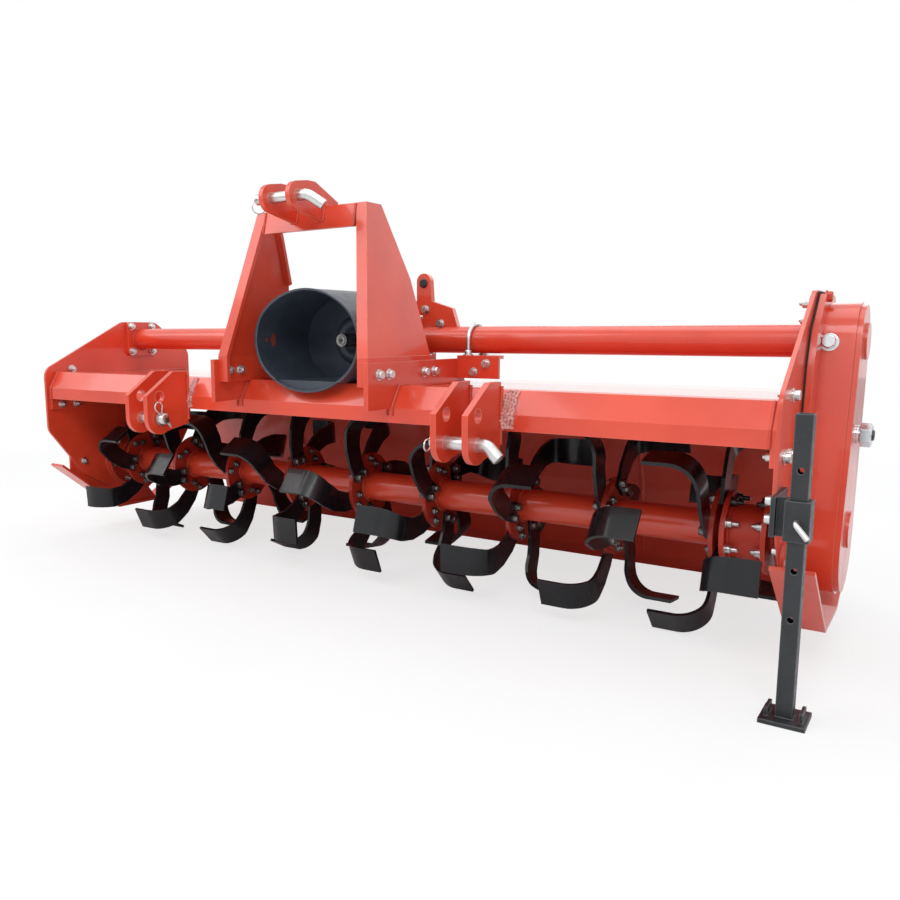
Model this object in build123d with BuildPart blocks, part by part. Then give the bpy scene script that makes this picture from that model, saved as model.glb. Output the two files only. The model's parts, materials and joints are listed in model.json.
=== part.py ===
from build123d import *
import math
import os

# Three-point-hitch rotary tiller, millimetres. +Z up, -Y towards the tractor,
# +X towards the chain case. The origin is on the floor, in the middle of the
# machine's footprint. Places along X and Y are given from the rotor's axis and
# its middle flange, heights from the floor.

# Rotor
rotor_x = -88.0
rotor_y = -20.0
rotor_z = 244.0
rotor_tube_radius = 40.0
rotor_tube_wall = 8.0
flange_count = 9
left_flange_gap = 96.0
right_flange_gap = 154.0
flange_radius = 92.0
flange_thickness = 10.0
flange_bore_gap = 0.05
tine_count = 6
tine_thickness = 8.0
tine_root_width = 50.0
tine_tip_width = 72.0
tine_root_r = 60.0
tine_root_angle = 40.0
tine_tip_radius = 243.0
tine_face_distance = 199.0
tine_turn = 70.0
tine_bend_radius = 66.0
tine_trim = 5.0
tine_lead_bow = 27.0
tine_trail_bow = 28.0
tine_edge_runs = 4
tine_reach = 126.0
end_tine_reach = 86.0
tine_phase_step = 20.0
tine_phase = 203.0

# Side plates
plate_thickness = 8.0
left_plate_reach = 1030.0
right_plate_reach = 1140.0
left_plate_x = rotor_x - left_plate_reach
right_plate_x = rotor_x + right_plate_reach
plate_front_y = rotor_y - 311.0
plate_rear_y = rotor_y + 284.0
plate_nose_z = 558.0
left_plate_top_z = 711.0
right_plate_top_z = 755.0
plate_bottom_z = 113.0
plate_shoulder_z = 608.0
plate_rear_low_z = 338.0
plate_front_low_z = 362.0
plate_skid_rear_z = 198.0
plate_skid_front_z = 206.0
plate_low_corner_z = 400.0
plate_low_radius = 40.0
plate_high_radius = 14.0

# Toolbar tube and gearbox
tube_y = rotor_y + 64.0
tube_z = 653.0
tube_radius = 35.0
tube_wall = 7.0
tube_flange_side = 116.0
tube_flange_thickness = 12.0
hitch_x = rotor_x + 64.0
gearbox_width = 140.0
gearbox_depth = 230.0
gearbox_height = 190.0
gearbox_flange_radius = 82.0
gearbox_flange_thickness = 12.0

# Hood, front beam and tailgate
deck_top_z = 544.0
deck_thickness = 6.0
beam_front_y = rotor_y - 301.0
beam_bottom_z = 465.0
beam_face_z = 500.0
beam_top_z = 550.0
beam_slant = 30.0
beam_depth = 70.0
beam_wall = 6.0
beam_end_thickness = 10.0
beam_end_bottom_z = 431.0
beam_end_depth = 112.0
hinge_radius = 8.0
hinge_clearance = 0.05
knuckle_radius = 16.0
hinge_lug_radius = 12.0
hinge_panel_offset = 13.0
gate_thickness = 5.0
gate_bottom_z = 1.0
gate_side_gap = 12.0

# Hitch
mast_top_z = 970.0
mast_bend_z = 615.0
mast_foot_z = beam_top_z
mast_top_half = 171.0
mast_foot_half = 236.0
mast_top_front_y = rotor_y - 288.0
mast_foot_front_y = rotor_y - 377.0
mast_top_depth = 58.0
mast_foot_depth = 262.0
mast_thickness = 10.0
mast_flange_width = 30.0
mast_return_width = 22.0
crossbar_height = 54.0
crossbar_thickness = 12.0
lug_thickness = 12.0
lug_height = 56.0
lug_front_y = rotor_y - 397.0
lug_rear_y = rotor_y + 34.0
lug_nose_z = 505.0
lug_foot_z = 478.0
top_pin_y = rotor_y - 382.0
top_pin_rise = 13.0
top_pin_z = mast_top_z + top_pin_rise
top_pin_radius = 12.7
top_ear_gap = 70.0
top_ear_thickness = 12.0
top_ear_radius = 32.0
lower_pin_y = rotor_y - 400.0
lower_pin_z = 445.0
lower_pin_radius = 14.0
upper_hole_z = 504.0
lower_pair_half = 486.0
lower_ear_gap = 61.0
lower_ear_thickness = 14.0
lower_ear_top_z = 569.0
lower_ear_nose = 42.0
lower_ear_shoulder_z = 508.0
pin_clearance = 0.05
lower_pin_head_gap = 0.5

# Power take-off
pto_y = rotor_y - 171.0
pto_radius = 17.45
spline_count = 6
guard_mouth_y = rotor_y - 318.0
guard_back_y = rotor_y - 108.0
guard_half_width = 165.0
guard_half_height = 126.0
guard_wall = 4.0
guard_end_radius = 105.0
gearbox_nose_radius = 64.0

# Chain case
case_gap = 10.0
case_width = 64.0
case_top_radius = 78.0
case_bottom_radius = 105.0
cover_thickness = 10.0
cover_rim = 5.0
cover_boss_radius = 38.0
cover_boss_height = 6.0
cover_nut_height = 32.0
cover_nut_width = 44.0
cover_nut_z = 465.0

# Skids and parking stand
skid_thickness = 8.0
skid_left_width = 62.0
skid_right_width = 78.0
skid_tip_y = rotor_y - 275.0
skid_tip_z = 240.0
skid_bottom_z = 68.0
stand_offset = 54.0
stand_x = right_plate_x + stand_offset
stand_y = rotor_y - 366.0
stand_side = 28.0
stand_wall = 3.0
stand_top_z = 538.0
stand_foot_side = 76.0
stand_foot_thickness = 8.0
stand_gap = 0.4
socket_wall = 6.0
socket_bottom_z = 322.0
socket_height = 70.0
stand_hole_radius = 5.5
stand_pin_radius = 5.0
stand_hole_pitch = 86.0

os.makedirs("parts", exist_ok=True)


def write(piece, name):
    """Label a finished piece and write its STEP file."""
    piece.part.label = name
    export_step(piece.part, "parts/" + name + ".step")


def yz_plane(x):
    """The plane of a side view at x: its own x is +Y and its own y is +Z."""
    return Plane(origin=(x, 0, 0), x_dir=(0, 1, 0), z_dir=(1, 0, 0))


def xz_plane(y):
    """The plane of a front view at y, seen from the tractor; it extrudes towards -Y."""
    return Plane(origin=(0, y, 0), x_dir=(1, 0, 0), z_dir=(0, -1, 0))


# Rotor: a tube with end stubs, nine welded flanges and six tines on each of them

first_flange_x = left_plate_x + left_flange_gap
last_flange_x = right_plate_x - right_flange_gap
flange_pitch = (last_flange_x - first_flange_x) / (flange_count - 1)
bearing_gap = 6.0
bearing_length = 34.0
bearing_radius = 62.0
bearing_plate_radius = 100.0
bearing_rim = 6.0
bearing_rim_depth = 20.0
left_bearing_face_x = left_plate_x + bearing_length
right_bearing_face_x = right_plate_x - bearing_length
stub_radius = 25.0
hub_ring_radius = 86.0
hub_ring_thickness = 10.0
hub_drum_radius = 60.0
hub_gap = 3.0
hub_start_x = last_flange_x + flange_thickness / 2 + tine_thickness + hub_gap
hub_end_x = right_bearing_face_x - 2 * bearing_gap
hub_length = hub_end_x - hub_start_x

with BuildPart() as rotor_tube:
    tube_start = left_bearing_face_x + bearing_gap
    tube_end = right_bearing_face_x - bearing_gap
    with BuildSketch(yz_plane(tube_start)):
        with Locations((rotor_y, rotor_z)):
            Circle(rotor_tube_radius)
    extrude(amount=tube_end - tube_start)
    with BuildSketch(yz_plane(tube_start + rotor_tube_wall)):
        with Locations((rotor_y, rotor_z)):
            Circle(rotor_tube_radius - rotor_tube_wall)
    extrude(amount=tube_end - tube_start - 2 * rotor_tube_wall, mode=Mode.SUBTRACT)
    for stub_x, stub_way in ((tube_start, -1), (tube_end, 1)):
        with BuildSketch(yz_plane(stub_x)):
            with Locations((rotor_y, rotor_z)):
                Circle(stub_radius)
        extrude(amount=stub_way * (bearing_gap + bearing_length - 4.0))
write(rotor_tube, "rotor_tube")

with BuildPart() as drive_hub:
    for ring_x in (hub_start_x, hub_start_x + hub_length - hub_ring_thickness):
        with BuildSketch(yz_plane(ring_x)):
            with Locations((rotor_y, rotor_z)):
                Circle(hub_ring_radius)
        extrude(amount=hub_ring_thickness)
    with BuildSketch(yz_plane(hub_start_x)):
        with Locations((rotor_y, rotor_z)):
            Circle(hub_drum_radius)
    extrude(amount=hub_length)
    with BuildSketch(yz_plane(hub_start_x)):
        with Locations((rotor_y, rotor_z)):
            Circle(rotor_tube_radius + flange_bore_gap)
    extrude(amount=hub_length, mode=Mode.SUBTRACT)
write(drive_hub, "drive_hub")


def tine(side, reach):
    """One tine of the reel, its root pointing up from an axis along X through the origin.

    The blade is where two shapes cross. One is the side outline, a sabre that leaves the
    flange aslant and curls back until it has turned by tine_turn, carried along X. The
    other is the bent sheet's profile, carried along the bend line, so that the outer half
    of the sabre lies over sideways. side is +1 to bend towards the chain case, or -1.
    """
    turn = math.radians(tine_turn)
    root_angle = math.radians(tine_root_angle)
    lead_along = math.sqrt(tine_tip_radius**2 - tine_face_distance**2)
    face_normal = (math.sin(turn), math.cos(turn))
    bend_line = (-math.cos(turn), math.sin(turn))

    def above_face(along):
        height = tine_face_distance + tine_trim
        return (
            face_normal[0] * height + bend_line[0] * along,
            face_normal[1] * height + bend_line[1] * along,
        )

    def beside_root(shift):
        return (-math.cos(root_angle) * shift, tine_root_r + math.sin(root_angle) * shift)

    def bowed(start, end, bow):
        run = (end[0] - start[0], end[1] - start[1])
        length = math.hypot(*run)
        points = []
        for part in range(tine_edge_runs + 1):
            share = part / tine_edge_runs
            rise = bow * 4 * share * (1 - share) / length
            points.append((
                start[0] + run[0] * share - run[1] * rise,
                start[1] + run[1] * share + run[0] * rise,
            ))
        return points

    lead_root = beside_root(tine_root_width / 2)
    trail_root = beside_root(-tine_root_width / 2)
    lead_tip = above_face(lead_along)
    trail_tip = above_face(lead_along - tine_tip_width)
    near = flange_thickness / 2
    far = near + tine_thickness
    bend_start = tine_face_distance - tine_bend_radius
    inner_face = tine_face_distance - tine_thickness
    with BuildPart() as blade:
        with BuildSketch(Plane.YZ):
            with BuildLine():
                Polyline(
                    *bowed(lead_root, lead_tip, tine_lead_bow),
                    *reversed(bowed(trail_root, trail_tip, tine_trail_bow)),
                    close=True,
                )
            make_face()
        extrude(amount=side * reach)
        profile_plane = Plane(
            origin=(0, 0, 0),
            x_dir=(side, 0, 0),
            z_dir=(0, side * bend_line[0], side * bend_line[1]),
        )
        with BuildSketch(profile_plane):
            with BuildLine():
                Line((near, -tine_tip_radius), (near, bend_start))
                RadiusArc(
                    (near, bend_start),
                    (near + tine_bend_radius, tine_face_distance),
                    tine_bend_radius,
                )
                Line((near + tine_bend_radius, tine_face_distance), (2 * reach, tine_face_distance))
                Line((2 * reach, tine_face_distance), (2 * reach, inner_face))
                Line((2 * reach, inner_face), (near + tine_bend_radius, inner_face))
                RadiusArc(
                    (near + tine_bend_radius, inner_face),
                    (far, bend_start),
                    tine_thickness - tine_bend_radius,
                )
                Line((far, bend_start), (far, -tine_tip_radius))
                Line((far, -tine_tip_radius), (near, -tine_tip_radius))
            make_face()
        extrude(amount=tine_tip_radius, both=True, mode=Mode.INTERSECT)
    return blade.part


right_tine = tine(1, tine_reach)
left_tine = tine(-1, tine_reach)
end_tine = tine(-1, end_tine_reach)

for index in range(flange_count):
    flange_x = first_flange_x + flange_pitch * index
    with BuildPart() as tine_set:
        with BuildSketch(yz_plane(-flange_thickness / 2)):
            Circle(flange_radius)
            Circle(rotor_tube_radius + flange_bore_gap, mode=Mode.SUBTRACT)
        extrude(amount=flange_thickness)
        for step in range(tine_count):
            angle = tine_phase - tine_phase_step * (flange_count - 1 - index)
            angle += step * 360.0 / tine_count
            if step % 2 == 1:
                blade = right_tine
            elif index == 0:
                blade = end_tine
            else:
                blade = left_tine
            add(blade.rotate(Axis.X, angle))
    placed = tine_set.part.moved(Location((flange_x, rotor_y, rotor_z)))
    placed.label = f"tine_set_{index + 1}"
    export_step(placed, f"parts/tine_set_{index + 1}.step")

# Side plates with the rotor's bearings

plate_rows = (
    # name, inner face, way out, top height, start of the flat top from the rotor axis
    ("left", left_plate_x, -1, left_plate_top_z, -8.0),
    ("right", right_plate_x, 1, right_plate_top_z, -24.0),
)
for name, face_x, way, top_z, top_start in plate_rows:
    with BuildPart() as side_plate:
        with BuildSketch(yz_plane(face_x)) as plate_outline:
            with BuildLine():
                Polyline(
                    (plate_front_y, plate_nose_z),
                    (rotor_y + top_start, top_z),
                    (tube_y + tube_flange_side / 2 + 12.0, top_z),
                    (plate_rear_y, plate_shoulder_z),
                    (plate_rear_y, plate_rear_low_z),
                    (rotor_y + 190.0, plate_skid_rear_z),
                    (rotor_y + 62.0, plate_bottom_z),
                    (rotor_y - 30.0, plate_bottom_z),
                    (rotor_y - 190.0, plate_skid_front_z),
                    (plate_front_y, plate_front_low_z),
                    close=True,
                )
            make_face()
            low_corners = plate_outline.vertices().filter_by(lambda v: v.Z < plate_low_corner_z)
            high_corners = plate_outline.vertices().filter_by(lambda v: v.Z > plate_low_corner_z)
            fillet(low_corners, plate_low_radius)
            fillet(high_corners, plate_high_radius)
        extrude(amount=way * plate_thickness)
        with BuildSketch(yz_plane(face_x)):
            with Locations((tube_y, tube_z)):
                Circle(tube_radius - tube_wall)
        extrude(amount=way * plate_thickness, mode=Mode.SUBTRACT)
    write(side_plate, f"side_plate_{name}")

    with BuildPart() as bearing:
        with BuildSketch(yz_plane(face_x)):
            with Locations((rotor_y, rotor_z)):
                Circle(bearing_radius)
        extrude(amount=-way * bearing_length)
        with BuildSketch(yz_plane(face_x)):
            with Locations((rotor_y, rotor_z)):
                Circle(bearing_plate_radius)
        extrude(amount=-way * bearing_rim)
        with BuildSketch(yz_plane(face_x)):
            with Locations((rotor_y, rotor_z)):
                Circle(bearing_plate_radius)
                Circle(bearing_plate_radius - bearing_rim, mode=Mode.SUBTRACT)
        extrude(amount=-way * bearing_rim_depth)
        with BuildSketch(yz_plane(face_x)):
            with Locations((rotor_y, rotor_z)):
                Circle(stub_radius + flange_bore_gap)
        extrude(amount=-way * bearing_length, mode=Mode.SUBTRACT)
    write(bearing, f"bearing_{name}")

# Hood: front beam, deck and hinge rod

beam_start = left_plate_x
beam_end = right_plate_x
beam_rear_y = beam_front_y + beam_depth


def beam_outline(inset):
    """The beam's folded section, or its inside when inset is the wall."""
    return (
        (beam_front_y + inset, beam_bottom_z + inset),
        (beam_front_y + inset, beam_face_z - inset * 0.27),
        (beam_front_y + beam_slant + inset * 0.6, beam_top_z - inset),
        (beam_rear_y - inset, beam_top_z - inset),
        (beam_rear_y - inset, beam_bottom_z + inset),
    )


with BuildPart() as front_beam:
    with BuildSketch(yz_plane(beam_start)):
        with BuildLine():
            Polyline(*beam_outline(0), close=True)
        make_face()
        with BuildLine():
            Polyline(*beam_outline(beam_wall), close=True)
        make_face(mode=Mode.SUBTRACT)
    extrude(amount=beam_end - beam_start)
    for end_x, end_way in ((beam_start, 1), (beam_end, -1)):
        with BuildSketch(yz_plane(end_x)):
            with BuildLine():
                Polyline(
                    (beam_front_y + 1.0, beam_end_bottom_z),
                    (beam_front_y + 1.0, beam_face_z),
                    (beam_rear_y, deck_top_z - deck_thickness),
                    (beam_front_y + beam_end_depth, deck_top_z - deck_thickness),
                    (beam_front_y + beam_end_depth, beam_end_bottom_z),
                    close=True,
                )
            make_face()
        extrude(amount=end_way * beam_end_thickness)
write(front_beam, "front_beam")

deck_rear_y = plate_rear_y - 6.0
deck_bend_y = rotor_y + 60.0
deck_drop = 6.0
hinge_y = deck_rear_y + 16.0
hinge_z = 520.0
hinge_lug_thickness = 8.0
knuckle_length = 56.0
knuckle_spots = (-880.0, -300.0, 300.0, 880.0)
deck_middle_x = (left_plate_x + right_plate_x) / 2
deck_half = (right_plate_x - left_plate_x) / 2

with BuildPart() as hood_deck:
    with BuildSketch(yz_plane(left_plate_x)):
        with BuildLine():
            Polyline(
                (beam_rear_y, deck_top_z),
                (deck_bend_y, deck_top_z),
                (deck_rear_y, deck_top_z - deck_drop),
                (deck_rear_y, hinge_z - 6.0),
                (deck_rear_y - deck_thickness, hinge_z - 6.0),
                (deck_rear_y - deck_thickness, deck_top_z - deck_drop - deck_thickness),
                (deck_bend_y, deck_top_z - deck_thickness),
                (beam_rear_y, deck_top_z - deck_thickness),
                close=True,
            )
        make_face()
    extrude(amount=right_plate_x - left_plate_x)
    for spot in knuckle_spots:
        for shift in (-1, 1):
            lug_x = deck_middle_x + spot + shift * (knuckle_length / 2 + 2.0)
            lug_x -= hinge_lug_thickness / 2 - shift * hinge_lug_thickness / 2
            with BuildSketch(yz_plane(lug_x)):
                with Locations((hinge_y, hinge_z)):
                    Circle(hinge_lug_radius)
                with BuildLine():
                    Polyline(
                        (deck_rear_y - 1.0, hinge_z + hinge_lug_radius),
                        (hinge_y, hinge_z + hinge_lug_radius),
                        (hinge_y, hinge_z - 6.0),
                        (deck_rear_y - 1.0, hinge_z - 6.0),
                        close=True,
                    )
                make_face()
                with Locations((hinge_y, hinge_z)):
                    Circle(hinge_radius + hinge_clearance, mode=Mode.SUBTRACT)
            extrude(amount=hinge_lug_thickness)
write(hood_deck, "hood_deck")

with BuildPart() as hinge_rod:
    with BuildSketch(yz_plane(left_plate_x + gate_side_gap)):
        with Locations((hinge_y, hinge_z)):
            Circle(hinge_radius)
    extrude(amount=2 * deck_half - 2 * gate_side_gap)
write(hinge_rod, "tailgate_hinge_rod")

gate_outline = (
    # outer face of the panel from the hinge to its hem, from the rotor axis and the floor
    (hinge_y + hinge_panel_offset, hinge_z),
    (rotor_y + 352.0, 428.0),
    (rotor_y + 412.0, 244.0),
    (rotor_y + 452.0, 40.0),
    (rotor_y + 478.0, gate_bottom_z),
)
with BuildPart() as tailgate:
    with BuildSketch(yz_plane(left_plate_x + gate_side_gap)):
        with BuildLine():
            Polyline(*gate_outline)
            offset(amount=gate_thickness, side=Side.LEFT)
        make_face()
    extrude(amount=2 * deck_half - 2 * gate_side_gap)
    for spot in knuckle_spots:
        with BuildSketch(yz_plane(deck_middle_x + spot - knuckle_length / 2)):
            with Locations((hinge_y, hinge_z)):
                Circle(knuckle_radius)
        extrude(amount=knuckle_length)
        with BuildSketch(yz_plane(deck_middle_x + spot - knuckle_length / 2)):
            with Locations((hinge_y, hinge_z)):
                Circle(hinge_radius + hinge_clearance)
        extrude(amount=knuckle_length, mode=Mode.SUBTRACT)
write(tailgate, "tailgate")

# Toolbar tubes and gearbox

gearbox_left_x = hitch_x - gearbox_width / 2
gearbox_right_x = hitch_x + gearbox_width / 2
tube_rows = (
    # name, face on the side plate, face on the gearbox
    ("left", left_plate_x, gearbox_left_x),
    ("right", right_plate_x, gearbox_right_x),
)
for name, plate_x, box_x in tube_rows:
    way = 1 if box_x > plate_x else -1
    with BuildPart() as toolbar_tube:
        with BuildSketch(yz_plane(plate_x)):
            with Locations((tube_y, tube_z)):
                Circle(tube_radius)
        extrude(amount=box_x - plate_x)
        with BuildSketch(yz_plane(plate_x)):
            with Locations((tube_y, tube_z)):
                RectangleRounded(tube_flange_side, tube_flange_side, 14.0)
        extrude(amount=way * tube_flange_thickness)
        with BuildSketch(yz_plane(box_x)):
            with Locations((tube_y, tube_z)):
                Circle(gearbox_flange_radius)
        extrude(amount=-way * gearbox_flange_thickness)
        with BuildSketch(yz_plane(plate_x)):
            with Locations((tube_y, tube_z)):
                Circle(tube_radius - tube_wall)
        extrude(amount=box_x - plate_x, mode=Mode.SUBTRACT)
    write(toolbar_tube, f"toolbar_tube_{name}")

gearbox_bottom_z = tube_z - gearbox_height / 2
with BuildPart() as gearbox:
    with BuildSketch(xz_plane(tube_y + gearbox_depth / 2)) as box_outline:
        with Locations((hitch_x, tube_z)):
            Rectangle(gearbox_width, gearbox_height)
        chamfer(box_outline.vertices(), 26.0)
    extrude(amount=gearbox_depth)
    with BuildSketch(xz_plane(tube_y - gearbox_depth / 2)):
        with Locations((hitch_x, tube_z)):
            Circle(gearbox_nose_radius + 14.0)
    extrude(amount=16.0)
    with BuildSketch(xz_plane(tube_y - gearbox_depth / 2 - 16.0)):
        with Locations((hitch_x, tube_z)):
            Circle(gearbox_nose_radius)
    extrude(amount=tube_y - gearbox_depth / 2 - 16.0 - guard_back_y)
    with BuildSketch(Plane.XY.offset(tube_z + gearbox_height / 2)):
        with Locations((hitch_x, tube_y)):
            RectangleRounded(gearbox_width - 52.0, gearbox_depth - 40.0, 18.0)
    extrude(amount=12.0)
    for foot_y in (tube_y - gearbox_depth / 2 + 20.0, tube_y + gearbox_depth / 2 - 20.0):
        with BuildSketch(Plane.XY.offset(deck_top_z)):
            with Locations((hitch_x, foot_y)):
                Rectangle(gearbox_width, 40.0)
        extrude(amount=gearbox_bottom_z - deck_top_z)
    with BuildSketch(Plane.XY.offset(deck_top_z - deck_drop - 1.0)):
        with Locations((hitch_x, tube_y)):
            Rectangle(gearbox_width, gearbox_depth + 60.0)
    extrude(amount=-gearbox_height, mode=Mode.SUBTRACT)
    with BuildSketch(xz_plane(guard_back_y)):
        with Locations((hitch_x, tube_z)):
            Circle(pto_radius + pin_clearance)
    extrude(amount=-60.0, mode=Mode.SUBTRACT)
write(gearbox, "gearbox")

with BuildPart() as pto_shaft:
    shaft_back_y = guard_back_y + 50.0
    with BuildSketch(xz_plane(shaft_back_y)) as spline_section:
        with Locations((hitch_x, tube_z)):
            Circle(pto_radius)
            with PolarLocations(pto_radius, spline_count):
                Rectangle(5.2, 8.8, mode=Mode.SUBTRACT)
    extrude(amount=shaft_back_y - pto_y)
write(pto_shaft, "pto_shaft")


guard_floor_y = beam_front_y - 2.0
guard_floor_z = beam_top_z + 1.0


def oval(half_width, half_height, end_radius):
    """Four arcs that meet without a corner, round the input shaft's axis."""
    end_shift = half_width - end_radius
    over = half_height - end_radius
    long_radius = end_radius + (end_shift**2 + over**2) / (2 * over)
    centre_drop = long_radius - half_height
    reach = math.hypot(end_shift, centre_drop)
    side_x = end_shift + end_radius * end_shift / reach
    side_z = end_radius * centre_drop / reach
    middle = (hitch_x, tube_z)
    return [
        tuple((middle[0] + x, middle[1] + z) for x, z in arc)
        for arc in (
            ((-side_x, side_z), (0.0, half_height), (side_x, side_z)),
            ((side_x, side_z), (half_width, 0.0), (side_x, -side_z)),
            ((side_x, -side_z), (0.0, -half_height), (-side_x, -side_z)),
            ((-side_x, -side_z), (-half_width, 0.0), (-side_x, side_z)),
        )
    ]


with BuildPart() as guard_inside:
    with BuildSketch(xz_plane(guard_back_y - guard_wall)):
        with BuildLine():
            for arc in oval(
                guard_half_width - guard_wall,
                guard_half_height - guard_wall,
                guard_end_radius - guard_wall,
            ):
                ThreePointArc(*arc)
        make_face()
    extrude(amount=guard_back_y - guard_mouth_y)
    with BuildSketch(yz_plane(hitch_x)):
        with Locations((guard_floor_y - guard_wall, guard_floor_z + guard_wall)):
            Rectangle(2 * guard_half_width, guard_half_height, align=(Align.MIN, Align.MAX))
    extrude(amount=guard_half_width, both=True, mode=Mode.SUBTRACT)

with BuildPart() as pto_guard:
    with BuildSketch(xz_plane(guard_back_y)):
        with BuildLine():
            for arc in oval(guard_half_width, guard_half_height, guard_end_radius):
                ThreePointArc(*arc)
        make_face()
    extrude(amount=guard_back_y - guard_mouth_y)
    with BuildSketch(yz_plane(hitch_x)):
        with Locations((guard_floor_y, guard_floor_z)):
            Rectangle(2 * guard_half_width, guard_half_height, align=(Align.MIN, Align.MAX))
    extrude(amount=guard_half_width, both=True, mode=Mode.SUBTRACT)
    add(guard_inside.part, mode=Mode.SUBTRACT)
    with BuildSketch(xz_plane(guard_back_y + 1.0)):
        with Locations((hitch_x, tube_z)):
            Circle(pto_radius + 6.0)
    extrude(amount=guard_wall + 4.0, mode=Mode.SUBTRACT)
write(pto_guard, "pto_guard")

# Mast: two bent legs on lug plates, crossbar, top link ears and pin

mast_rise = mast_top_z - mast_bend_z
leg_lean = (mast_foot_front_y - mast_top_front_y) / mast_rise
leg_spread = (mast_foot_half - mast_top_half) / mast_rise
side_slant = math.hypot(1.0, leg_spread)
front_slant = math.hypot(1.0, leg_lean)
foot_rear_y = mast_foot_front_y + mast_foot_depth
mast_rear_bend_rise = 190.0 / side_slant
rear_lean = foot_rear_y - 38.0 - mast_top_front_y - mast_top_depth
rear_run = math.hypot(mast_rise - mast_rear_bend_rise, rear_lean)

for name, way in (("left", -1), ("right", 1)):
    foot_x = hitch_x + way * mast_foot_half
    side_plane = Plane(
        origin=(foot_x, 0, mast_bend_z),
        x_dir=(0, 1, 0),
        z_dir=(1, 0, way * leg_spread),
    )
    front_plane = Plane(
        origin=(foot_x, mast_foot_front_y, mast_bend_z),
        x_dir=(1, 0, 0),
        z_dir=(0, -1, -leg_lean),
    )
    top_x = -way * (mast_foot_half - mast_top_half)
    rear_low_x = -way * leg_spread * mast_rear_bend_rise
    rear_plane = Plane(
        origin=(foot_x, foot_rear_y - 38.0, mast_bend_z + mast_rear_bend_rise),
        x_dir=(-1, 0, 0),
        z_dir=(0, mast_rise - mast_rear_bend_rise, rear_lean),
    )
    with BuildPart() as mast_leg:
        with BuildSketch(side_plane):
            with BuildLine():
                Polyline(
                    (mast_foot_front_y, 0.0),
                    (mast_top_front_y, mast_rise * side_slant),
                    (mast_top_front_y + mast_top_depth, mast_rise * side_slant),
                    (foot_rear_y - 38.0, 190.0),
                    (foot_rear_y, 0.0),
                    close=True,
                )
            make_face()
        extrude(amount=-way * mast_thickness)
        with BuildSketch(front_plane):
            with BuildLine():
                Polyline(
                    (0.0, 0.0),
                    (top_x, mast_rise * front_slant),
                    (top_x - way * mast_flange_width, mast_rise * front_slant),
                    (-way * mast_flange_width, 0.0),
                    close=True,
                )
            make_face()
        extrude(amount=-mast_thickness)
        with BuildSketch(rear_plane):
            with BuildLine():
                Polyline(
                    (-rear_low_x, 0.0),
                    (-top_x, rear_run),
                    (-top_x + way * mast_return_width, rear_run),
                    (-rear_low_x + way * mast_return_width, 0.0),
                    close=True,
                )
            make_face()
        extrude(amount=-mast_thickness)
        with BuildSketch(yz_plane(foot_x)):
            with Locations((mast_foot_front_y, mast_bend_z + 2.0)):
                Rectangle(mast_foot_depth, mast_bend_z + 2.0 - mast_foot_z, align=(Align.MIN, Align.MAX))
        extrude(amount=-way * mast_thickness)
        with BuildSketch(xz_plane(mast_foot_front_y + mast_thickness)):
            with Locations((foot_x - way * mast_flange_width / 2, (mast_foot_z + mast_bend_z + 2.0) / 2)):
                Rectangle(mast_flange_width, mast_bend_z + 2.0 - mast_foot_z)
        extrude(amount=mast_thickness)
    write(mast_leg, f"mast_leg_{name}")

    lug_x = hitch_x + way * mast_foot_half
    with BuildPart() as mast_lug:
        with BuildSketch(yz_plane(lug_x)) as lug_outline:
            with BuildLine():
                Polyline(
                    (lug_front_y, lug_nose_z),
                    (lug_front_y, beam_top_z + lug_height),
                    (lug_rear_y, beam_top_z + lug_height),
                    (lug_rear_y, deck_top_z),
                    (beam_rear_y, deck_top_z),
                    (beam_rear_y, beam_top_z),
                    (beam_front_y + beam_slant, beam_top_z),
                    (beam_front_y, beam_face_z),
                    (beam_front_y, lug_foot_z),
                    (lug_front_y + 30.0, lug_foot_z),
                    close=True,
                )
            make_face()
        extrude(amount=way * lug_thickness)
    write(mast_lug, f"mast_lug_{name}")

crossbar_bottom_z = mast_top_z - crossbar_height
crossbar_bottom_y = mast_top_front_y + leg_lean * crossbar_height
with BuildPart() as mast_crossbar:
    with BuildSketch(yz_plane(hitch_x - mast_top_half + mast_flange_width)):
        with BuildLine():
            Polyline(
                (mast_top_front_y, mast_top_z),
                (mast_top_front_y + crossbar_thickness, mast_top_z),
                (crossbar_bottom_y + crossbar_thickness, crossbar_bottom_z),
                (crossbar_bottom_y, crossbar_bottom_z),
                close=True,
            )
        make_face()
    extrude(amount=2 * (mast_top_half - mast_flange_width))
write(mast_crossbar, "mast_crossbar")

with BuildPart() as top_link_ears:
    for ear_x in (hitch_x - top_ear_gap / 2 - top_ear_thickness, hitch_x + top_ear_gap / 2):
        with BuildSketch(yz_plane(ear_x)):
            with Locations((top_pin_y, top_pin_z)):
                Circle(top_ear_radius)
            with BuildLine():
                Polyline(
                    (top_pin_y - 4.0, top_pin_z + top_ear_radius - 0.3),
                    (top_pin_y + 34.0, top_pin_z + top_ear_radius + 6.0),
                    (top_pin_y + 62.0, top_pin_z + top_ear_radius + 6.0),
                    (mast_top_front_y + 52.0, mast_top_z + 14.0),
                    (mast_top_front_y + 52.0, mast_top_z),
                    (mast_top_front_y, mast_top_z),
                    (mast_top_front_y + leg_lean * 36.0, mast_top_z - 36.0),
                    (top_pin_y - 10.0, top_pin_z - top_ear_radius + 1.6),
                    close=True,
                )
            make_face()
            with Locations((top_pin_y, top_pin_z)):
                Circle(top_pin_radius + pin_clearance, mode=Mode.SUBTRACT)
        extrude(amount=top_ear_thickness)
write(top_link_ears, "top_link_ears")


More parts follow.
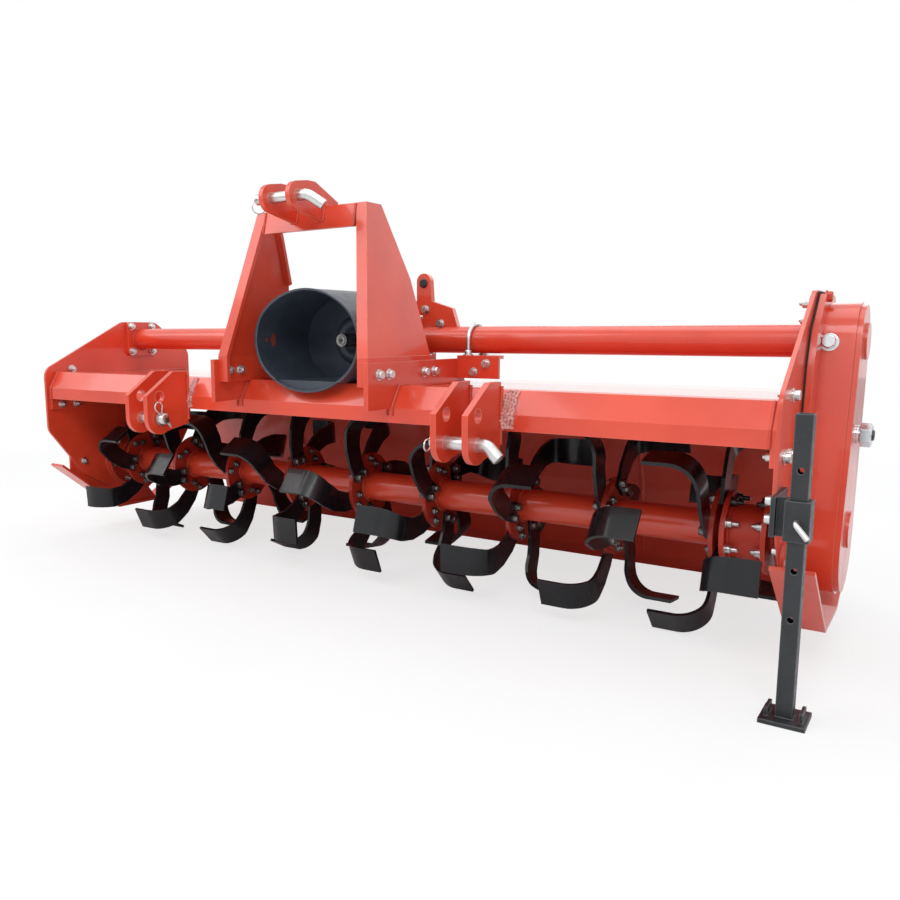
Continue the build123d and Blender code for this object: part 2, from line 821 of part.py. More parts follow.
def bent_pin(start_x, bend_x, pin_y, pin_z, radius, drop_y, drop_z, way):
    """A straight pin along X with its handle bent away at one end."""
    with BuildPart() as pin:
        with BuildLine() as path:
            Polyline(
                (start_x, pin_y, pin_z),
                (bend_x - way * 6.0, pin_y, pin_z),
                (bend_x + way * 6.0, pin_y + drop_y * 0.14, pin_z + drop_z * 0.14),
                (bend_x + way * 34.0, pin_y + drop_y, pin_z + drop_z),
            )
        with BuildSketch(Plane(origin=(start_x, pin_y, pin_z), z_dir=(way, 0, 0))):
            Circle(radius)
        sweep(path=path.line, transition=Transition.RIGHT)
    return pin


ear_outer_half = top_ear_gap / 2 + top_ear_thickness
top_link_pin = bent_pin(
    hitch_x - ear_outer_half - 34.0,
    hitch_x + ear_outer_half + 26.0,
    top_pin_y,
    top_pin_z,
    top_pin_radius,
    26.0,
    -26.0,
    1,
)
write(top_link_pin, "top_link_pin")

# Lower hitch: two pairs of ears with pins

pair_half = lower_ear_gap / 2 + lower_ear_thickness
for name, way in (("left", -1), ("right", 1)):
    pair_x = hitch_x + way * lower_pair_half
    with BuildPart() as lower_ears:
        for ear_x in (pair_x - pair_half, pair_x + lower_ear_gap / 2):
            with BuildSketch(yz_plane(ear_x)) as ear_outline:
                with Locations((lower_pin_y, lower_pin_z)):
                    Circle(lower_ear_nose)
                with BuildLine():
                    Polyline(
                        (beam_front_y, lower_ear_top_z),
                        (beam_front_y - 50.0, lower_ear_top_z),
                        (lower_pin_y - lower_ear_nose, lower_ear_shoulder_z),
                        (lower_pin_y - lower_ear_nose, lower_pin_z),
                        (lower_pin_y - 8.0, lower_pin_z - lower_ear_nose + 0.8),
                        (beam_front_y, lower_pin_z - 20.0),
                        close=True,
                    )
                make_face()
                with Locations((lower_pin_y, lower_pin_z), (lower_pin_y, upper_hole_z)):
                    Circle(lower_pin_radius + pin_clearance, mode=Mode.SUBTRACT)
            extrude(amount=lower_ear_thickness)
    write(lower_ears, f"lower_ears_{name}")

    if way == 1:
        lower_pin = bent_pin(
            pair_x - pair_half - 22.0,
            pair_x + pair_half + 20.0,
            lower_pin_y,
            lower_pin_z,
            lower_pin_radius,
            0.0,
            -30.0,
            1,
        )
    else:
        with BuildPart() as lower_pin:
            with BuildSketch(yz_plane(pair_x - pair_half - lower_pin_head_gap)):
                with Locations((lower_pin_y, lower_pin_z)):
                    Circle(lower_pin_radius)
            extrude(amount=2 * pair_half + lower_pin_head_gap + 22.0)
            with BuildSketch(yz_plane(pair_x - pair_half - lower_pin_head_gap)):
                with Locations((lower_pin_y, lower_pin_z)):
                    Circle(lower_pin_radius + 5.0)
            extrude(amount=-7.0)
    write(lower_pin, f"lower_pin_{name}")

# Clamps that tie the lug plates to the toolbar tube, and the stay bracket on it

clamp_width = 120.0
clamp_thickness = 8.0
for name, way in (("left", -1), ("right", 1)):
    clamp_x = hitch_x + way * (mast_foot_half + lug_thickness)
    with BuildPart() as tube_clamp:
        with BuildSketch(Plane.XY.offset(beam_top_z + lug_height)):
            with Locations((clamp_x + way * clamp_width / 2, tube_y - 8.0)):
                Rectangle(clamp_width, 120.0)
        extrude(amount=clamp_thickness)
        with BuildSketch(xz_plane(tube_y - 60.0)):
            with Locations((clamp_x + way * clamp_width / 2, beam_top_z + lug_height - 21.0)):
                Rectangle(clamp_width, 58.0)
        extrude(amount=clamp_thickness)
        with BuildSketch(yz_plane(clamp_x)):
            with Locations((tube_y - 20.0, beam_top_z + lug_height - 20.0)):
                Rectangle(88.0, 44.0)
        extrude(amount=way * clamp_thickness)
    write(tube_clamp, f"tube_clamp_{name}")

bracket_x = hitch_x + gearbox_width / 2 + gearbox_flange_thickness + 24.0
bracket_half_width = 22.0
bracket_top_z = tube_z + 155.0
bracket_neck_z = tube_z + 103.0
bracket_shoulder_z = tube_z + 83.0
bracket_foot_z = tube_z + tube_radius - 4.0
with BuildPart() as stay_bracket:
    with BuildSketch(xz_plane(tube_y)) as bracket_outline:
        with BuildLine():
            Polyline(
                (bracket_x - bracket_half_width, bracket_foot_z),
                (bracket_x - bracket_half_width, bracket_top_z),
                (bracket_x + bracket_half_width, bracket_top_z),
                (bracket_x + bracket_half_width + 4.0, bracket_neck_z),
                (bracket_x + 90.0, bracket_shoulder_z),
                (bracket_x + 108.0, bracket_foot_z),
                close=True,
            )
        make_face()
        with Locations((bracket_x, bracket_top_z)):
            Circle(bracket_half_width)
        with Locations((bracket_x, bracket_top_z - 4.0)):
            Circle(8.0, mode=Mode.SUBTRACT)
    extrude(amount=8.0, both=True)
    with BuildSketch(yz_plane(bracket_x - 60.0)):
        with Locations((tube_y, tube_z)):
            Circle(tube_radius + pin_clearance)
    extrude(amount=220.0, mode=Mode.SUBTRACT)
write(stay_bracket, "stay_bracket")

# Chain case on the right plate


def case_outline(inset):
    """Two circles joined by their outer tangents, in a side view."""
    with Locations((tube_y, tube_z)):
        Circle(case_top_radius - inset)
    with Locations((rotor_y, rotor_z)):
        Circle(case_bottom_radius - inset)
    make_hull()


case_face_x = right_plate_x + plate_thickness + case_gap
with BuildPart() as chain_case:
    with BuildSketch(yz_plane(case_face_x)):
        case_outline(0.0)
    extrude(amount=case_width)
    with BuildSketch(yz_plane(case_face_x)):
        case_outline(24.0)
    extrude(amount=-case_gap)
write(chain_case, "chain_case")

cover_x = case_face_x + case_width
with BuildPart() as chain_cover:
    with BuildSketch(yz_plane(cover_x)):
        case_outline(cover_rim)
    extrude(amount=cover_thickness)
    with BuildSketch(yz_plane(cover_x + cover_thickness)):
        with Locations((tube_y, tube_z), (rotor_y, rotor_z + 30.0)):
            Circle(cover_boss_radius)
    extrude(amount=cover_boss_height)
write(chain_cover, "chain_cover")

cover_nut_y = rotor_y + (cover_nut_z - rotor_z) / (tube_z - rotor_z) * (tube_y - rotor_y)
with BuildPart() as cover_nut:
    with BuildSketch(yz_plane(cover_x + cover_thickness)):
        with Locations((cover_nut_y, cover_nut_z)):
            RegularPolygon(cover_nut_width / 2, 6, major_radius=False)
    extrude(amount=cover_nut_height - 8.0)
    with BuildSketch(yz_plane(cover_x + cover_thickness + cover_nut_height - 8.0)):
        with Locations((cover_nut_y, cover_nut_z)):
            Circle(cover_nut_width / 2 - 4.0)
    extrude(amount=8.0)
write(cover_nut, "chain_cover_nut")

# Skids

skid_rows = (
    # name, face of the plate it stands against, way out, width
    ("left", left_plate_x - plate_thickness, -1, skid_left_width),
    ("right", right_plate_x + plate_thickness, 1, skid_right_width),
)
for name, face_x, way, width in skid_rows:
    inner_x = face_x - way * 12.0
    with BuildPart() as skid:
        with BuildSketch(yz_plane(inner_x)):
            with BuildLine():
                Polyline(
                    (skid_tip_y, skid_tip_z),
                    (rotor_y - 60.0, skid_bottom_z),
                    (rotor_y + 110.0, skid_bottom_z),
                    (rotor_y + 190.0, 112.0),
                )
                offset(amount=skid_thickness, side=Side.LEFT)
            make_face()
        extrude(amount=way * width)
        with BuildSketch(yz_plane(face_x)):
            with BuildLine():
                Polyline(
                    (skid_tip_y + 40.0, skid_tip_z - 24.0),
                    (skid_tip_y + 40.0, skid_tip_z + 40.0),
                    (rotor_y - 150.0, skid_tip_z + 40.0),
                    (rotor_y - 20.0, 143.0),
                    (rotor_y + 60.0, 143.0),
                    (rotor_y + 110.0, skid_bottom_z + skid_thickness - 1.0),
                    (rotor_y - 60.0, skid_bottom_z + skid_thickness - 1.0),
                    close=True,
                )
            make_face()
        extrude(amount=way * 6.0)
    write(skid, f"skid_{name}")

# Parking stand in its socket on the right plate

socket_inner = stand_side + 2 * stand_gap
socket_outer = socket_inner + 2 * socket_wall
with BuildPart() as stand_socket:
    with BuildSketch(Plane.XY.offset(socket_bottom_z)):
        with Locations((stand_x, stand_y)):
            Rectangle(socket_outer, socket_outer)
        bracket_depth = plate_front_y + 60.0 - stand_y
        bracket_start = right_plate_x + plate_thickness
        with Locations((bracket_start + 4.0, stand_y + bracket_depth / 2)):
            Rectangle(8.0, bracket_depth)
        with Locations(((bracket_start + stand_x) / 2, stand_y + socket_outer / 2 - 3.0)):
            Rectangle(stand_x - bracket_start, 6.0)
        with Locations((stand_x, stand_y)):
            Rectangle(socket_inner, socket_inner, mode=Mode.SUBTRACT)
    extrude(amount=socket_height)
write(stand_socket, "stand_socket")

stand_pin_z = socket_bottom_z + socket_height / 2
with BuildPart() as stand_pin:
    with BuildLine() as stand_pin_path:
        Polyline(
            (stand_x, stand_y - socket_outer / 2, stand_pin_z),
            (stand_x, stand_y - socket_outer / 2 - 14.0, stand_pin_z),
            (stand_x + 24.0, stand_y - socket_outer / 2 - 24.0, stand_pin_z - 24.0),
        )
    with BuildSketch(Plane(origin=stand_pin_path.line @ 0, z_dir=(0, -1, 0))):
        Circle(stand_pin_radius)
    sweep(path=stand_pin_path.line, transition=Transition.RIGHT)
write(stand_pin, "stand_pin")

with BuildPart() as stand_leg:
    with BuildSketch(Plane.XY.offset(stand_foot_thickness)):
        with Locations((stand_x, stand_y)):
            Rectangle(stand_side, stand_side)
            Rectangle(stand_side - 2 * stand_wall, stand_side - 2 * stand_wall, mode=Mode.SUBTRACT)
    extrude(amount=stand_top_z - stand_foot_thickness)
    with BuildSketch(Plane.XY):
        with Locations((stand_x, stand_y)):
            Rectangle(stand_foot_side, stand_foot_side)
    extrude(amount=stand_foot_thickness)
    for gusset_x in (stand_x - stand_side / 2 - 14.0, stand_x + stand_side / 2 + 14.0):
        with BuildSketch(Plane.XY.offset(stand_foot_thickness)):
            with Locations((gusset_x, stand_y)):
                Rectangle(6.0, 40.0)
        extrude(amount=16.0)
    with BuildSketch(xz_plane(stand_y)):
        with Locations(*((stand_x, stand_pin_z + row * stand_hole_pitch) for row in (-2, -1, 0, 1))):
            Circle(stand_hole_radius)
    extrude(amount=stand_side, both=True, mode=Mode.SUBTRACT)
write(stand_leg, "stand_leg")
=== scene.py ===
import json
import math

import bpy
import numpy as np
from mathutils import Matrix, Vector


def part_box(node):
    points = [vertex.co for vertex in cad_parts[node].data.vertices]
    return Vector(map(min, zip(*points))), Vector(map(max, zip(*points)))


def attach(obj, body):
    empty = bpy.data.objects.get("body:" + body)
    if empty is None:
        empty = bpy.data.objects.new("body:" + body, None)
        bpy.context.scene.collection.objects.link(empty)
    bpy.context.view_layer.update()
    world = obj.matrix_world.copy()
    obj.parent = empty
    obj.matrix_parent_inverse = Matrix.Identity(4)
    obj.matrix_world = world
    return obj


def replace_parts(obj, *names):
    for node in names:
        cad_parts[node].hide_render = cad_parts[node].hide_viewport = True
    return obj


# Looks of the rotary tiller: paint, steel and the fasteners that the CAD part leaves out.
# Lengths are millimetres from the rotor's axis (y), its middle (x) and the floor (z), and
# every mesh is written in metres in the frame's own coordinates.

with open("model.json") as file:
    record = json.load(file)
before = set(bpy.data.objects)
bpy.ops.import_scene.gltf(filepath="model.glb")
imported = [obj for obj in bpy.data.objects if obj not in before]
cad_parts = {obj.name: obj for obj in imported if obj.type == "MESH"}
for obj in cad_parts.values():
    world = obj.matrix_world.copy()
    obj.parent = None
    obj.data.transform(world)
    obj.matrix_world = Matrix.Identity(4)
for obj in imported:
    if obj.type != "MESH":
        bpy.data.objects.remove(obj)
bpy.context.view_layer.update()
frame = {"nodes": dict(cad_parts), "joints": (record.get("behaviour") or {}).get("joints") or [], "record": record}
nodes = frame["nodes"]
joints = {j["name"]: j for j in frame["joints"]}
rotorAxis = joints["rotor_turn"]["pos_m"]
hitchShift = 64.0  # the hitch's middle from the rotor's
rotorX = joints["pto_turn"]["pos_m"][0] * 1000 - hitchShift
rotorY = rotorAxis[1] * 1000
rotorZ = rotorAxis[2] * 1000
scene = bpy.context.scene
print("frame loaded")

camera = {"place": (1.3246, -1.8988, 0.6715), "azimuth": 34.233, "pitch": 8.72, "roll": -0.137,
          "lens": 33.30, "shift": (0.0539, 0.0118)}
camData = bpy.data.cameras.new("camera")
camData.lens = camera["lens"]
camData.sensor_width = 36.0
camData.shift_x, camData.shift_y = camera["shift"]
camObject = bpy.data.objects.new("camera", camData)
camTurn = (Matrix.Rotation(math.radians(camera["azimuth"]), 4, "Z")
           @ Matrix.Rotation(math.radians(90.0 - camera["pitch"]), 4, "X")
           @ Matrix.Rotation(math.radians(camera["roll"]), 4, "Z"))
camObject.matrix_world = Matrix.Translation(Vector(camera["place"])) @ camTurn
scene.collection.objects.link(camObject)
scene.camera = camObject

# Soft boxes: place, target, width and height in metres, and power in watts
lamps = {"key": ((1.6, -3.4, 3.4), (0.0, 0.0, 0.4), (2.6, 1.8), 74.0),
         "fill": ((-2.3, -2.2, 3.0), (0.0, 0.0, 0.5), (3.2, 2.2), 52.0),
         "top": ((0.2, 0.4, 3.9), (0.0, 0.0, 0.5), (4.0, 2.2), 44.0),
         "rim": ((0.4, 3.6, 2.4), (0.0, 0.0, 0.5), (3.6, 1.6), 30.0)}
for name, (place, target, size, power) in lamps.items():
    lampData = bpy.data.lights.new(name, "AREA")
    lampData.shape = "RECTANGLE"
    lampData.size, lampData.size_y = size
    lampData.energy = power
    lamp = bpy.data.objects.new(name, lampData)
    lamp.location = place
    lamp.rotation_euler = (Vector(target) - Vector(place)).to_track_quat("-Z", "Y").to_euler()
    scene.collection.objects.link(lamp)


def linear(code):
    # The linear colour of an sRGB hex code, as red, green, blue and alpha
    parts = [int(code[i:i + 2], 16) / 255 for i in (1, 3, 5)]
    lit = [v / 12.92 if v <= 0.04045 else ((v + 0.055) / 1.055) ** 2.4 for v in parts]
    return (*lit, 1.0)


def addNode(tree, kind, sockets=(), output=0, **settings):
    # One shader node. Its sockets are given by name or number, or in their order, each as a value,
    # a colour's hex code or another node's output; it hands back one of its own outputs
    node = tree.nodes.new("ShaderNode" + kind)
    for key, value in settings.items():
        setattr(node, key, value)
    for key, value in sockets.items() if isinstance(sockets, dict) else enumerate(sockets):
        if isinstance(value, bpy.types.NodeSocket):
            tree.links.new(value, node.inputs[key])
        else:
            node.inputs[key].default_value = linear(value) if isinstance(value, str) else value
    return node.outputs[output] if node.outputs else node


# World: a cool, soft sky on the object, and plain white for what looks past it or mirrors it
studio = {"sky": (0.93, 0.96, 1.0, 1.0), "strength": 0.54, "back": (1.0, 1.0, 1.0, 1.0)}
world = bpy.data.worlds.new("studio")
scene.world = world
world.use_nodes = True
sky = world.node_tree
sky.nodes.clear()
softSky = addNode(sky, "Background", {"Color": studio["sky"], "Strength": studio["strength"]})
whiteBack = addNode(sky, "Background", {"Color": studio["back"], "Strength": 1.0})
rays = addNode(sky, "LightPath").node.outputs
seen = addNode(sky, "Math", (rays["Is Camera Ray"], rays["Is Transmission Ray"]), operation="MAXIMUM")
seen = addNode(sky, "Math", (seen, rays["Is Glossy Ray"]), operation="MAXIMUM")
addNode(sky, "OutputWorld", (addNode(sky, "MixShader", (seen, softSky, whiteBack)),))
scene.view_settings.view_transform = "Standard"
print("light and camera ready")


def newMaterial(name, shader):
    # A Principled material, with what a pattern needs: its tree, shader and Object coordinates
    material = bpy.data.materials.new(name)
    material.use_nodes = True
    tree = material.node_tree
    tree.nodes.clear()
    body = addNode(tree, "BsdfPrincipled", shader).node
    addNode(tree, "OutputMaterial", (body.outputs[0],))
    return material, tree, body, addNode(tree, "TexCoord", (), "Object")


def farFrom(tree, place, centre, axes):
    # Distance in metres from a line or point: axes has a 1 for each direction that counts
    moved = addNode(tree, "VectorMath", (place, centre), operation="SUBTRACT")
    kept = addNode(tree, "VectorMath", (moved, axes), operation="MULTIPLY")
    return addNode(tree, "VectorMath", (kept,), "Value", operation="LENGTH")


def metres(x, y, z):
    # A place in rotor-frame millimetres, as frame metres
    return ((x + rotorX) / 1000.0, (y + rotorY) / 1000.0, z / 1000.0)


def softEdge(tree, body, look, height, depth):
    # A surface's normal: corners rounded to look["edge"] millimetres, then the height as bumps
    rounded = addNode(tree, "Bevel", {"Radius": look["edge"] / 1000.0}, samples=4)
    bump = addNode(tree, "Bump", {"Strength": look["bump"], "Distance": depth, "Height": height,
                                  "Normal": rounded})
    tree.links.new(bump, body.inputs["Normal"])
    return rounded


def paint(name, look, shader=None, colourOver=None):
    # Enamel and the like: a slow change of tone, dust in specks, orange peel (drawn out where the
    # look has a flow), and rounded edges, paler where the rounded normal leaves the flat one, by
    # their dot product: partly a rubbed-thin coat, partly a painted highlight along the edges
    material, tree, body, place = newMaterial(name, {"Specular IOR Level": 0.5, **(shader or {})})
    drawn = place
    if "flow" in look:
        drawn = addNode(tree, "Mapping", {"Vector": place, "Scale": look["flow"]})
    tone, speck, peel, sheen = [
        addNode(tree, "TexNoise", {"Vector": spot, "Scale": 1000.0 / size, "Detail": detail})
        for spot, size, detail in ((place, look["toneSize"], 2.0), (place, look["speck"], 4.0),
                                   (drawn, look["peelSize"], 1.0), (place, look["toneSize"] * 0.3, 3.0))]
    slow = addNode(tree, "MapRange", (tone, 0.35, 0.65, 0.0, 1.0))
    colour = addNode(tree, "Mix", {0: slow, 6: look["base"], 7: look["deep"]}, 2, data_type="RGBA")
    if colourOver:
        colour = colourOver(tree, place, colour)
    dust = addNode(tree, "MapRange", (speck, 0.60, 0.80, 0.0, look["dust"]))
    colour = addNode(tree, "Mix", {0: dust, 6: colour, 7: look["dustColour"]}, 2, data_type="RGBA")
    rounded = softEdge(tree, body, look, peel, 0.0006)
    flat = addNode(tree, "NewGeometry", (), "Normal")
    bend = addNode(tree, "VectorMath", (rounded, flat), "Value", operation="DOT_PRODUCT")
    # Paler where the normals part: a rubbed-thin coat, and a painted highlight along the edges
    thin = addNode(tree, "MapRange", (bend, 0.985, 0.90, 0.0, look["edgeWearAndHighlight"]))
    colour = addNode(tree, "Mix", {0: thin, 6: colour, 7: look["edgeWearAndHighlightColour"]}, 2, data_type="RGBA")
    tree.links.new(colour, body.inputs["Base Color"])
    gloss = addNode(tree, "MapRange", (sheen, 0.3, 0.7, *look["gloss"]))
    tree.links.new(gloss, body.inputs["Roughness"])
    return material


def metal(name, look):
    # Bare or plated metal: a fine mottle in its tone, slower patches of shine, and rounded edges
    material, tree, body, place = newMaterial(name, {"Metallic": 1.0})
    fine, patches = [
        addNode(tree, "TexNoise", {"Vector": place, "Scale": 1000.0 / size, "Detail": 3.0})
        for size in (look["grain"], look["grain"] * 5)]
    mottle = addNode(tree, "MapRange", (fine, 0.3, 0.7, 0.0, 1.0))
    colour = addNode(tree, "Mix", {0: mottle, 6: look["base"], 7: look["deep"]}, 2, data_type="RGBA")
    tree.links.new(colour, body.inputs["Base Color"])
    gloss = addNode(tree, "MapRange", (patches, 0.3, 0.7, *look["gloss"]))
    tree.links.new(gloss, body.inputs["Roughness"])
    softEdge(tree, body, look, fine, 0.0003)
    return material


# Red enamel: saturated orange red with a soft shine, slightly wavy, pale at the edges: partly rubbed, partly a
# painted highlight
redLook = {"base": "#DD472B", "deep": "#CF3E25", "dust": 0.10, "dustColour": "#E08468", "speck": 9.0,
           "toneSize": 180.0, "peelSize": 4.0, "bump": 0.06, "gloss": (0.28, 0.40),
           "edge": 2.2, "edgeWearAndHighlight": 0.45, "edgeWearAndHighlightColour": "#F39A7E"}
redPaint = paint("red enamel on steel", redLook, {"Coat Weight": 0.55, "Coat Roughness": 0.08})

# The deck keeps a wet gloss, so it mirrors what stands on it and goes white at a low angle
deckPaint = paint("glossy red enamel of the deck", dict(redLook, bump=0.02, gloss=(0.16, 0.24)),
                  {"Coat Weight": 1.0, "Coat Roughness": 0.04})

# The hitch's ears carry the same enamel, with a pale ring round each pin hole: y, z, radius
pinHoles = {"lower": (-400.0, 445.0, 14.0), "spare": (-400.0, 504.0, 14.0),
            "top": (-382.0, 983.0, 12.7)}
ringColour = "#E9A595"


def paleHoleRings(tree, place, colour):
    # A thin ring at each hole: one ramp up at its edge times one ramp down outside it
    for y, z, radius in pinHoles.values():
        away = farFrom(tree, place, metres(0.0, y, z), (0.0, 1.0, 1.0))
        hole = radius / 1000.0
        fromEdge = addNode(tree, "MapRange", (away, hole + 0.0002, hole + 0.0006, 0.0, 0.8))
        fade = addNode(tree, "MapRange", (away, hole + 0.0008, hole + 0.0026, 1.0, 0.0))
        ring = addNode(tree, "Math", (fromEdge, fade), operation="MULTIPLY")
        colour = addNode(tree, "Mix", {0: ring, 6: colour, 7: ringColour}, 2, data_type="RGBA")
    return colour


# The ears' edges get more of the pale edge colour: wear, and a painted highlight along them
earPaint = paint("red enamel on ears, pale at rims and edges", dict(redLook, edgeWearAndHighlight=0.6),
                 {"Coat Weight": 0.4, "Coat Roughness": 0.1}, paleHoleRings)

# Red enamel on castings: the same paint over a sand-cast skin, so it breaks up the shine
castPaint = paint("red enamel on cast iron", dict(redLook, base="#D0402A", deep="#BD3723",
                                                  peelSize=2.6, bump=0.45, gloss=(0.36, 0.52)))

# Weld bead, painted over: the enamel again, over a rippled seam that is a little darker
weldPaint = paint("painted weld", dict(redLook, base="#CC3D28", deep="#B23220", peelSize=3.2,
                                       bump=0.6, gloss=(0.3, 0.42)))

# Scorched weld: lumpy bead left pink and grey by the heat, with little paint on it
scorchLook = dict(redLook, base="#DBA49F", deep="#BE7770", dustColour="#EEDFDF", dust=0.6, speck=5.0,
                  toneSize=16.0, peelSize=4.0, bump=0.9, gloss=(0.34, 0.55), edgeWearAndHighlight=0.2)
scorchPaint = paint("scorched weld", scorchLook, {"Specular IOR Level": 0.6})

# Front beam: the enamel, scorched grey and violet where the ears were welded on last
seam = {"spots": ((606.0, 0.034), (-366.0, 0.018)), "y": -298.0, "z": 512.0, "lump": 14.0,
        "ragged": 0.022, "colour": "#B58C90"}


def scorch(tree, place, colour):
    # Round each spot: distance plus noise, so that the patch has a ragged edge
    for x, size in seam["spots"]:
        patch = farFrom(tree, place, metres(x, seam["y"], seam["z"]), (1.0, 0.6, 0.8))
        lumps = addNode(tree, "TexNoise", {"Vector": place, "Scale": 1000.0 / seam["lump"],
                                           "Detail": 3.0})
        lumps = addNode(tree, "Math", (lumps, seam["ragged"]), operation="MULTIPLY")
        ragged = addNode(tree, "Math", (patch, lumps), operation="ADD")
        scorched = addNode(tree, "MapRange", (ragged, size * 0.6, size * 1.25, 0.8, 0.0))
        colour = addNode(tree, "Mix", {0: scorched, 6: colour, 7: seam["colour"]}, 2,
                         data_type="RGBA")
    return colour


beamPaint = paint("red enamel with a scorched seam", redLook,
                  {"Coat Weight": 0.6, "Coat Roughness": 0.08}, scorch)

# Places that the rotor's colours and bolts share
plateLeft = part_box("side_plate_left")[1][0] * 1000.0 - rotorX
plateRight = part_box("side_plate_right")[0][0] * 1000.0 - rotorX
# The reel's colour is the flanges' red, darkened as painted shade from the blades round them
reel = {"count": 9, "tines": 6, "fromLeft": 96.0, "fromRight": 154.0, "flangeR": 93.0,
        "flangeHalf": 5.0, "tineThick": 8.0, "phase": 203.0, "step": 20.0, "rootR": 60.0,
        "rootAngle": 40.0, "flats": 19.0, "stud": 4.0, "spread": 14.0, "out": 13.0, "weldR": 42.0,
        "colour": "#A8301F"}
firstX = plateLeft + reel["fromLeft"]
reelPitch = (plateRight - reel["fromRight"] - firstX) / (reel["count"] - 1)

# Black dipped paint on tines: deep blue black and glossy, so the bent blades catch the sky; grey
# along the edges, partly wear and partly a painted highlight
tineLook = {"base": "#0D1015", "deep": "#080A0E", "dust": 0.06, "dustColour": "#343A44", "speck": 7.0,
            "toneSize": 60.0, "peelSize": 6.0, "bump": 0.08, "gloss": (0.26, 0.38),
            "edge": 1.6, "edgeWearAndHighlight": 0.30, "edgeWearAndHighlightColour": "#6B7078"}


def reelRedInShade(tree, place, colour):
    # The flange discs are red between the black blades, in a darker red that also paints the shade
    # the blades cast on them: near the axis, and near a flange's middle, by what is left of the place
    # along X after whole pitches
    discR, pitch = reel["flangeR"] / 1000.0, reelPitch / 1000.0
    away = farFrom(tree, place, metres(0.0, 0.0, rotorZ), (0.0, 1.0, 1.0))
    reach = addNode(tree, "MapRange", (away, discR - 0.0004, discR + 0.0004, 1.0, 0.0))
    along = addNode(tree, "SeparateXYZ", (place,))
    within = addNode(tree, "Math", (along, metres(firstX, 0.0, 0.0)[0] - pitch / 2), operation="SUBTRACT")
    within = addNode(tree, "Math", (within, pitch), operation="MODULO")
    within = addNode(tree, "Math", (within, pitch / 2), operation="SUBTRACT")
    within = addNode(tree, "Math", (within,), operation="ABSOLUTE")
    thin = addNode(tree, "MapRange", (within, 0.0053, 0.0056, 1.0, 0.0))
    disc = addNode(tree, "Math", (reach, thin), operation="MULTIPLY")
    return addNode(tree, "Mix", {0: disc, 6: colour, 7: reel["colour"]}, 2, data_type="RGBA")


reelPaint = paint("tine reel paint", tineLook,
                  {"Specular IOR Level": 0.3, "Coat Weight": 0.25, "Coat Roughness": 0.06}, reelRedInShade)

# Black enamel of the stand: flatter than the tines, scuffed grey here and there, and pale grey along
# its edges, mostly a painted highlight of its corners
standLook = {"base": "#26292C", "deep": "#1D2023", "dust": 0.25, "dustColour": "#55555A", "speck": 8.0,
             "toneSize": 50.0, "peelSize": 3.0, "bump": 0.2, "gloss": (0.34, 0.52),
             "edge": 2.6, "edgeWearAndHighlight": 0.6, "edgeWearAndHighlightColour": "#84888C"}
standPaint = paint("black enamel", standLook)

# Moulded black guard: satin skin with flow ripples round it, faintly dusted; a lifting slot and a
# hole in its left wall let the red of the mast through
guardLook = {"base": "#3D444F", "deep": "#333944", "dust": 0.15, "dustColour": "#5A606B", "speck": 6.0,
             "toneSize": 70.0, "peelSize": 9.0, "bump": 0.30, "flow": (0.25, 2.4, 0.25),
             "gloss": (0.30, 0.42), "edge": 1.0, "edgeWearAndHighlight": 0.3, "edgeWearAndHighlightColour": "#7A818C"}
slotPlace = {"wall": (-60.0, -58.0), "z": 655.0, "holeY": -279.0, "holeR": (0.0045, 0.0055),
             "slotY": -253.0, "slotR": (0.0080, 0.0090), "colour": "#8E3A2C"}


def guardSlot(tree, place, colour):
    # Left of the wall's inner face: a round hole, and a slot twice as tall as it is wide
    side = addNode(tree, "SeparateXYZ", (place,))
    wallStart, wallEnd = (metres(x, 0.0, 0.0)[0] for x in slotPlace["wall"])
    leftWall = addNode(tree, "MapRange", (side, wallStart, wallEnd, 1.0, 0.0))
    away = farFrom(tree, place, metres(0.0, slotPlace["holeY"], slotPlace["z"]), (0.0, 1.0, 1.0))
    hole = addNode(tree, "MapRange", (away, *slotPlace["holeR"], 1.0, 0.0))
    away = farFrom(tree, place, metres(0.0, slotPlace["slotY"], slotPlace["z"]), (0.0, 1.0, 0.5))
    slot = addNode(tree, "MapRange", (away, *slotPlace["slotR"], 1.0, 0.0))
    either = addNode(tree, "Math", (hole, slot), operation="MAXIMUM")
    mask = addNode(tree, "Math", (leftWall, either), operation="MULTIPLY")
    return addNode(tree, "Mix", {0: mask, 6: colour, 7: slotPlace["colour"]}, 2, data_type="RGBA")


guardSkin = paint("black moulded plastic", guardLook, None, guardSlot)

# Rolled rim of the guard: the same plastic in a paler grey
rimSkin = paint("pale plastic rim", dict(guardLook, base="#6E757F", deep="#5D636C", edgeWearAndHighlight=0.0))

# Seal strip of the chain case: dull black rubber, slightly dusty
rubberSkin = paint("black rubber", dict(guardLook, base="#201A19", deep="#171211", gloss=(0.6, 0.8),
                                        edgeWearAndHighlight=0.0), {"Specular IOR Level": 0.4})

# Greased bolt: dark steel, wet with oil
greaseLook = {"base": "#2A2420", "deep": "#15110F", "dust": 0.3, "dustColour": "#54453A", "speck": 4.0,
              "toneSize": 12.0, "peelSize": 2.0, "bump": 0.5, "gloss": (0.16, 0.34),
              "edge": 0.8, "edgeWearAndHighlight": 0.5, "edgeWearAndHighlightColour": "#8C867E"}
greaseSkin = paint("greased steel", greaseLook, {"Specular IOR Level": 0.6})

# Zinc plate: pale grey metal with a fine crystal mottle and slightly dull patches
zincSkin = metal("bright zinc plate", {"base": "#DEDEDE", "deep": "#C2C1BF", "grain": 1.5,
                                       "gloss": (0.24, 0.42), "bump": 0.12, "edge": 0.8})

# Chrome of the tightener nut and plugs: near white and mirror-like
chromeSkin = metal("chromed steel", {"base": "#E4E6E8", "deep": "#D3D6DA", "grain": 3.0,
                                     "gloss": (0.10, 0.18), "bump": 0.04, "edge": 1.2})

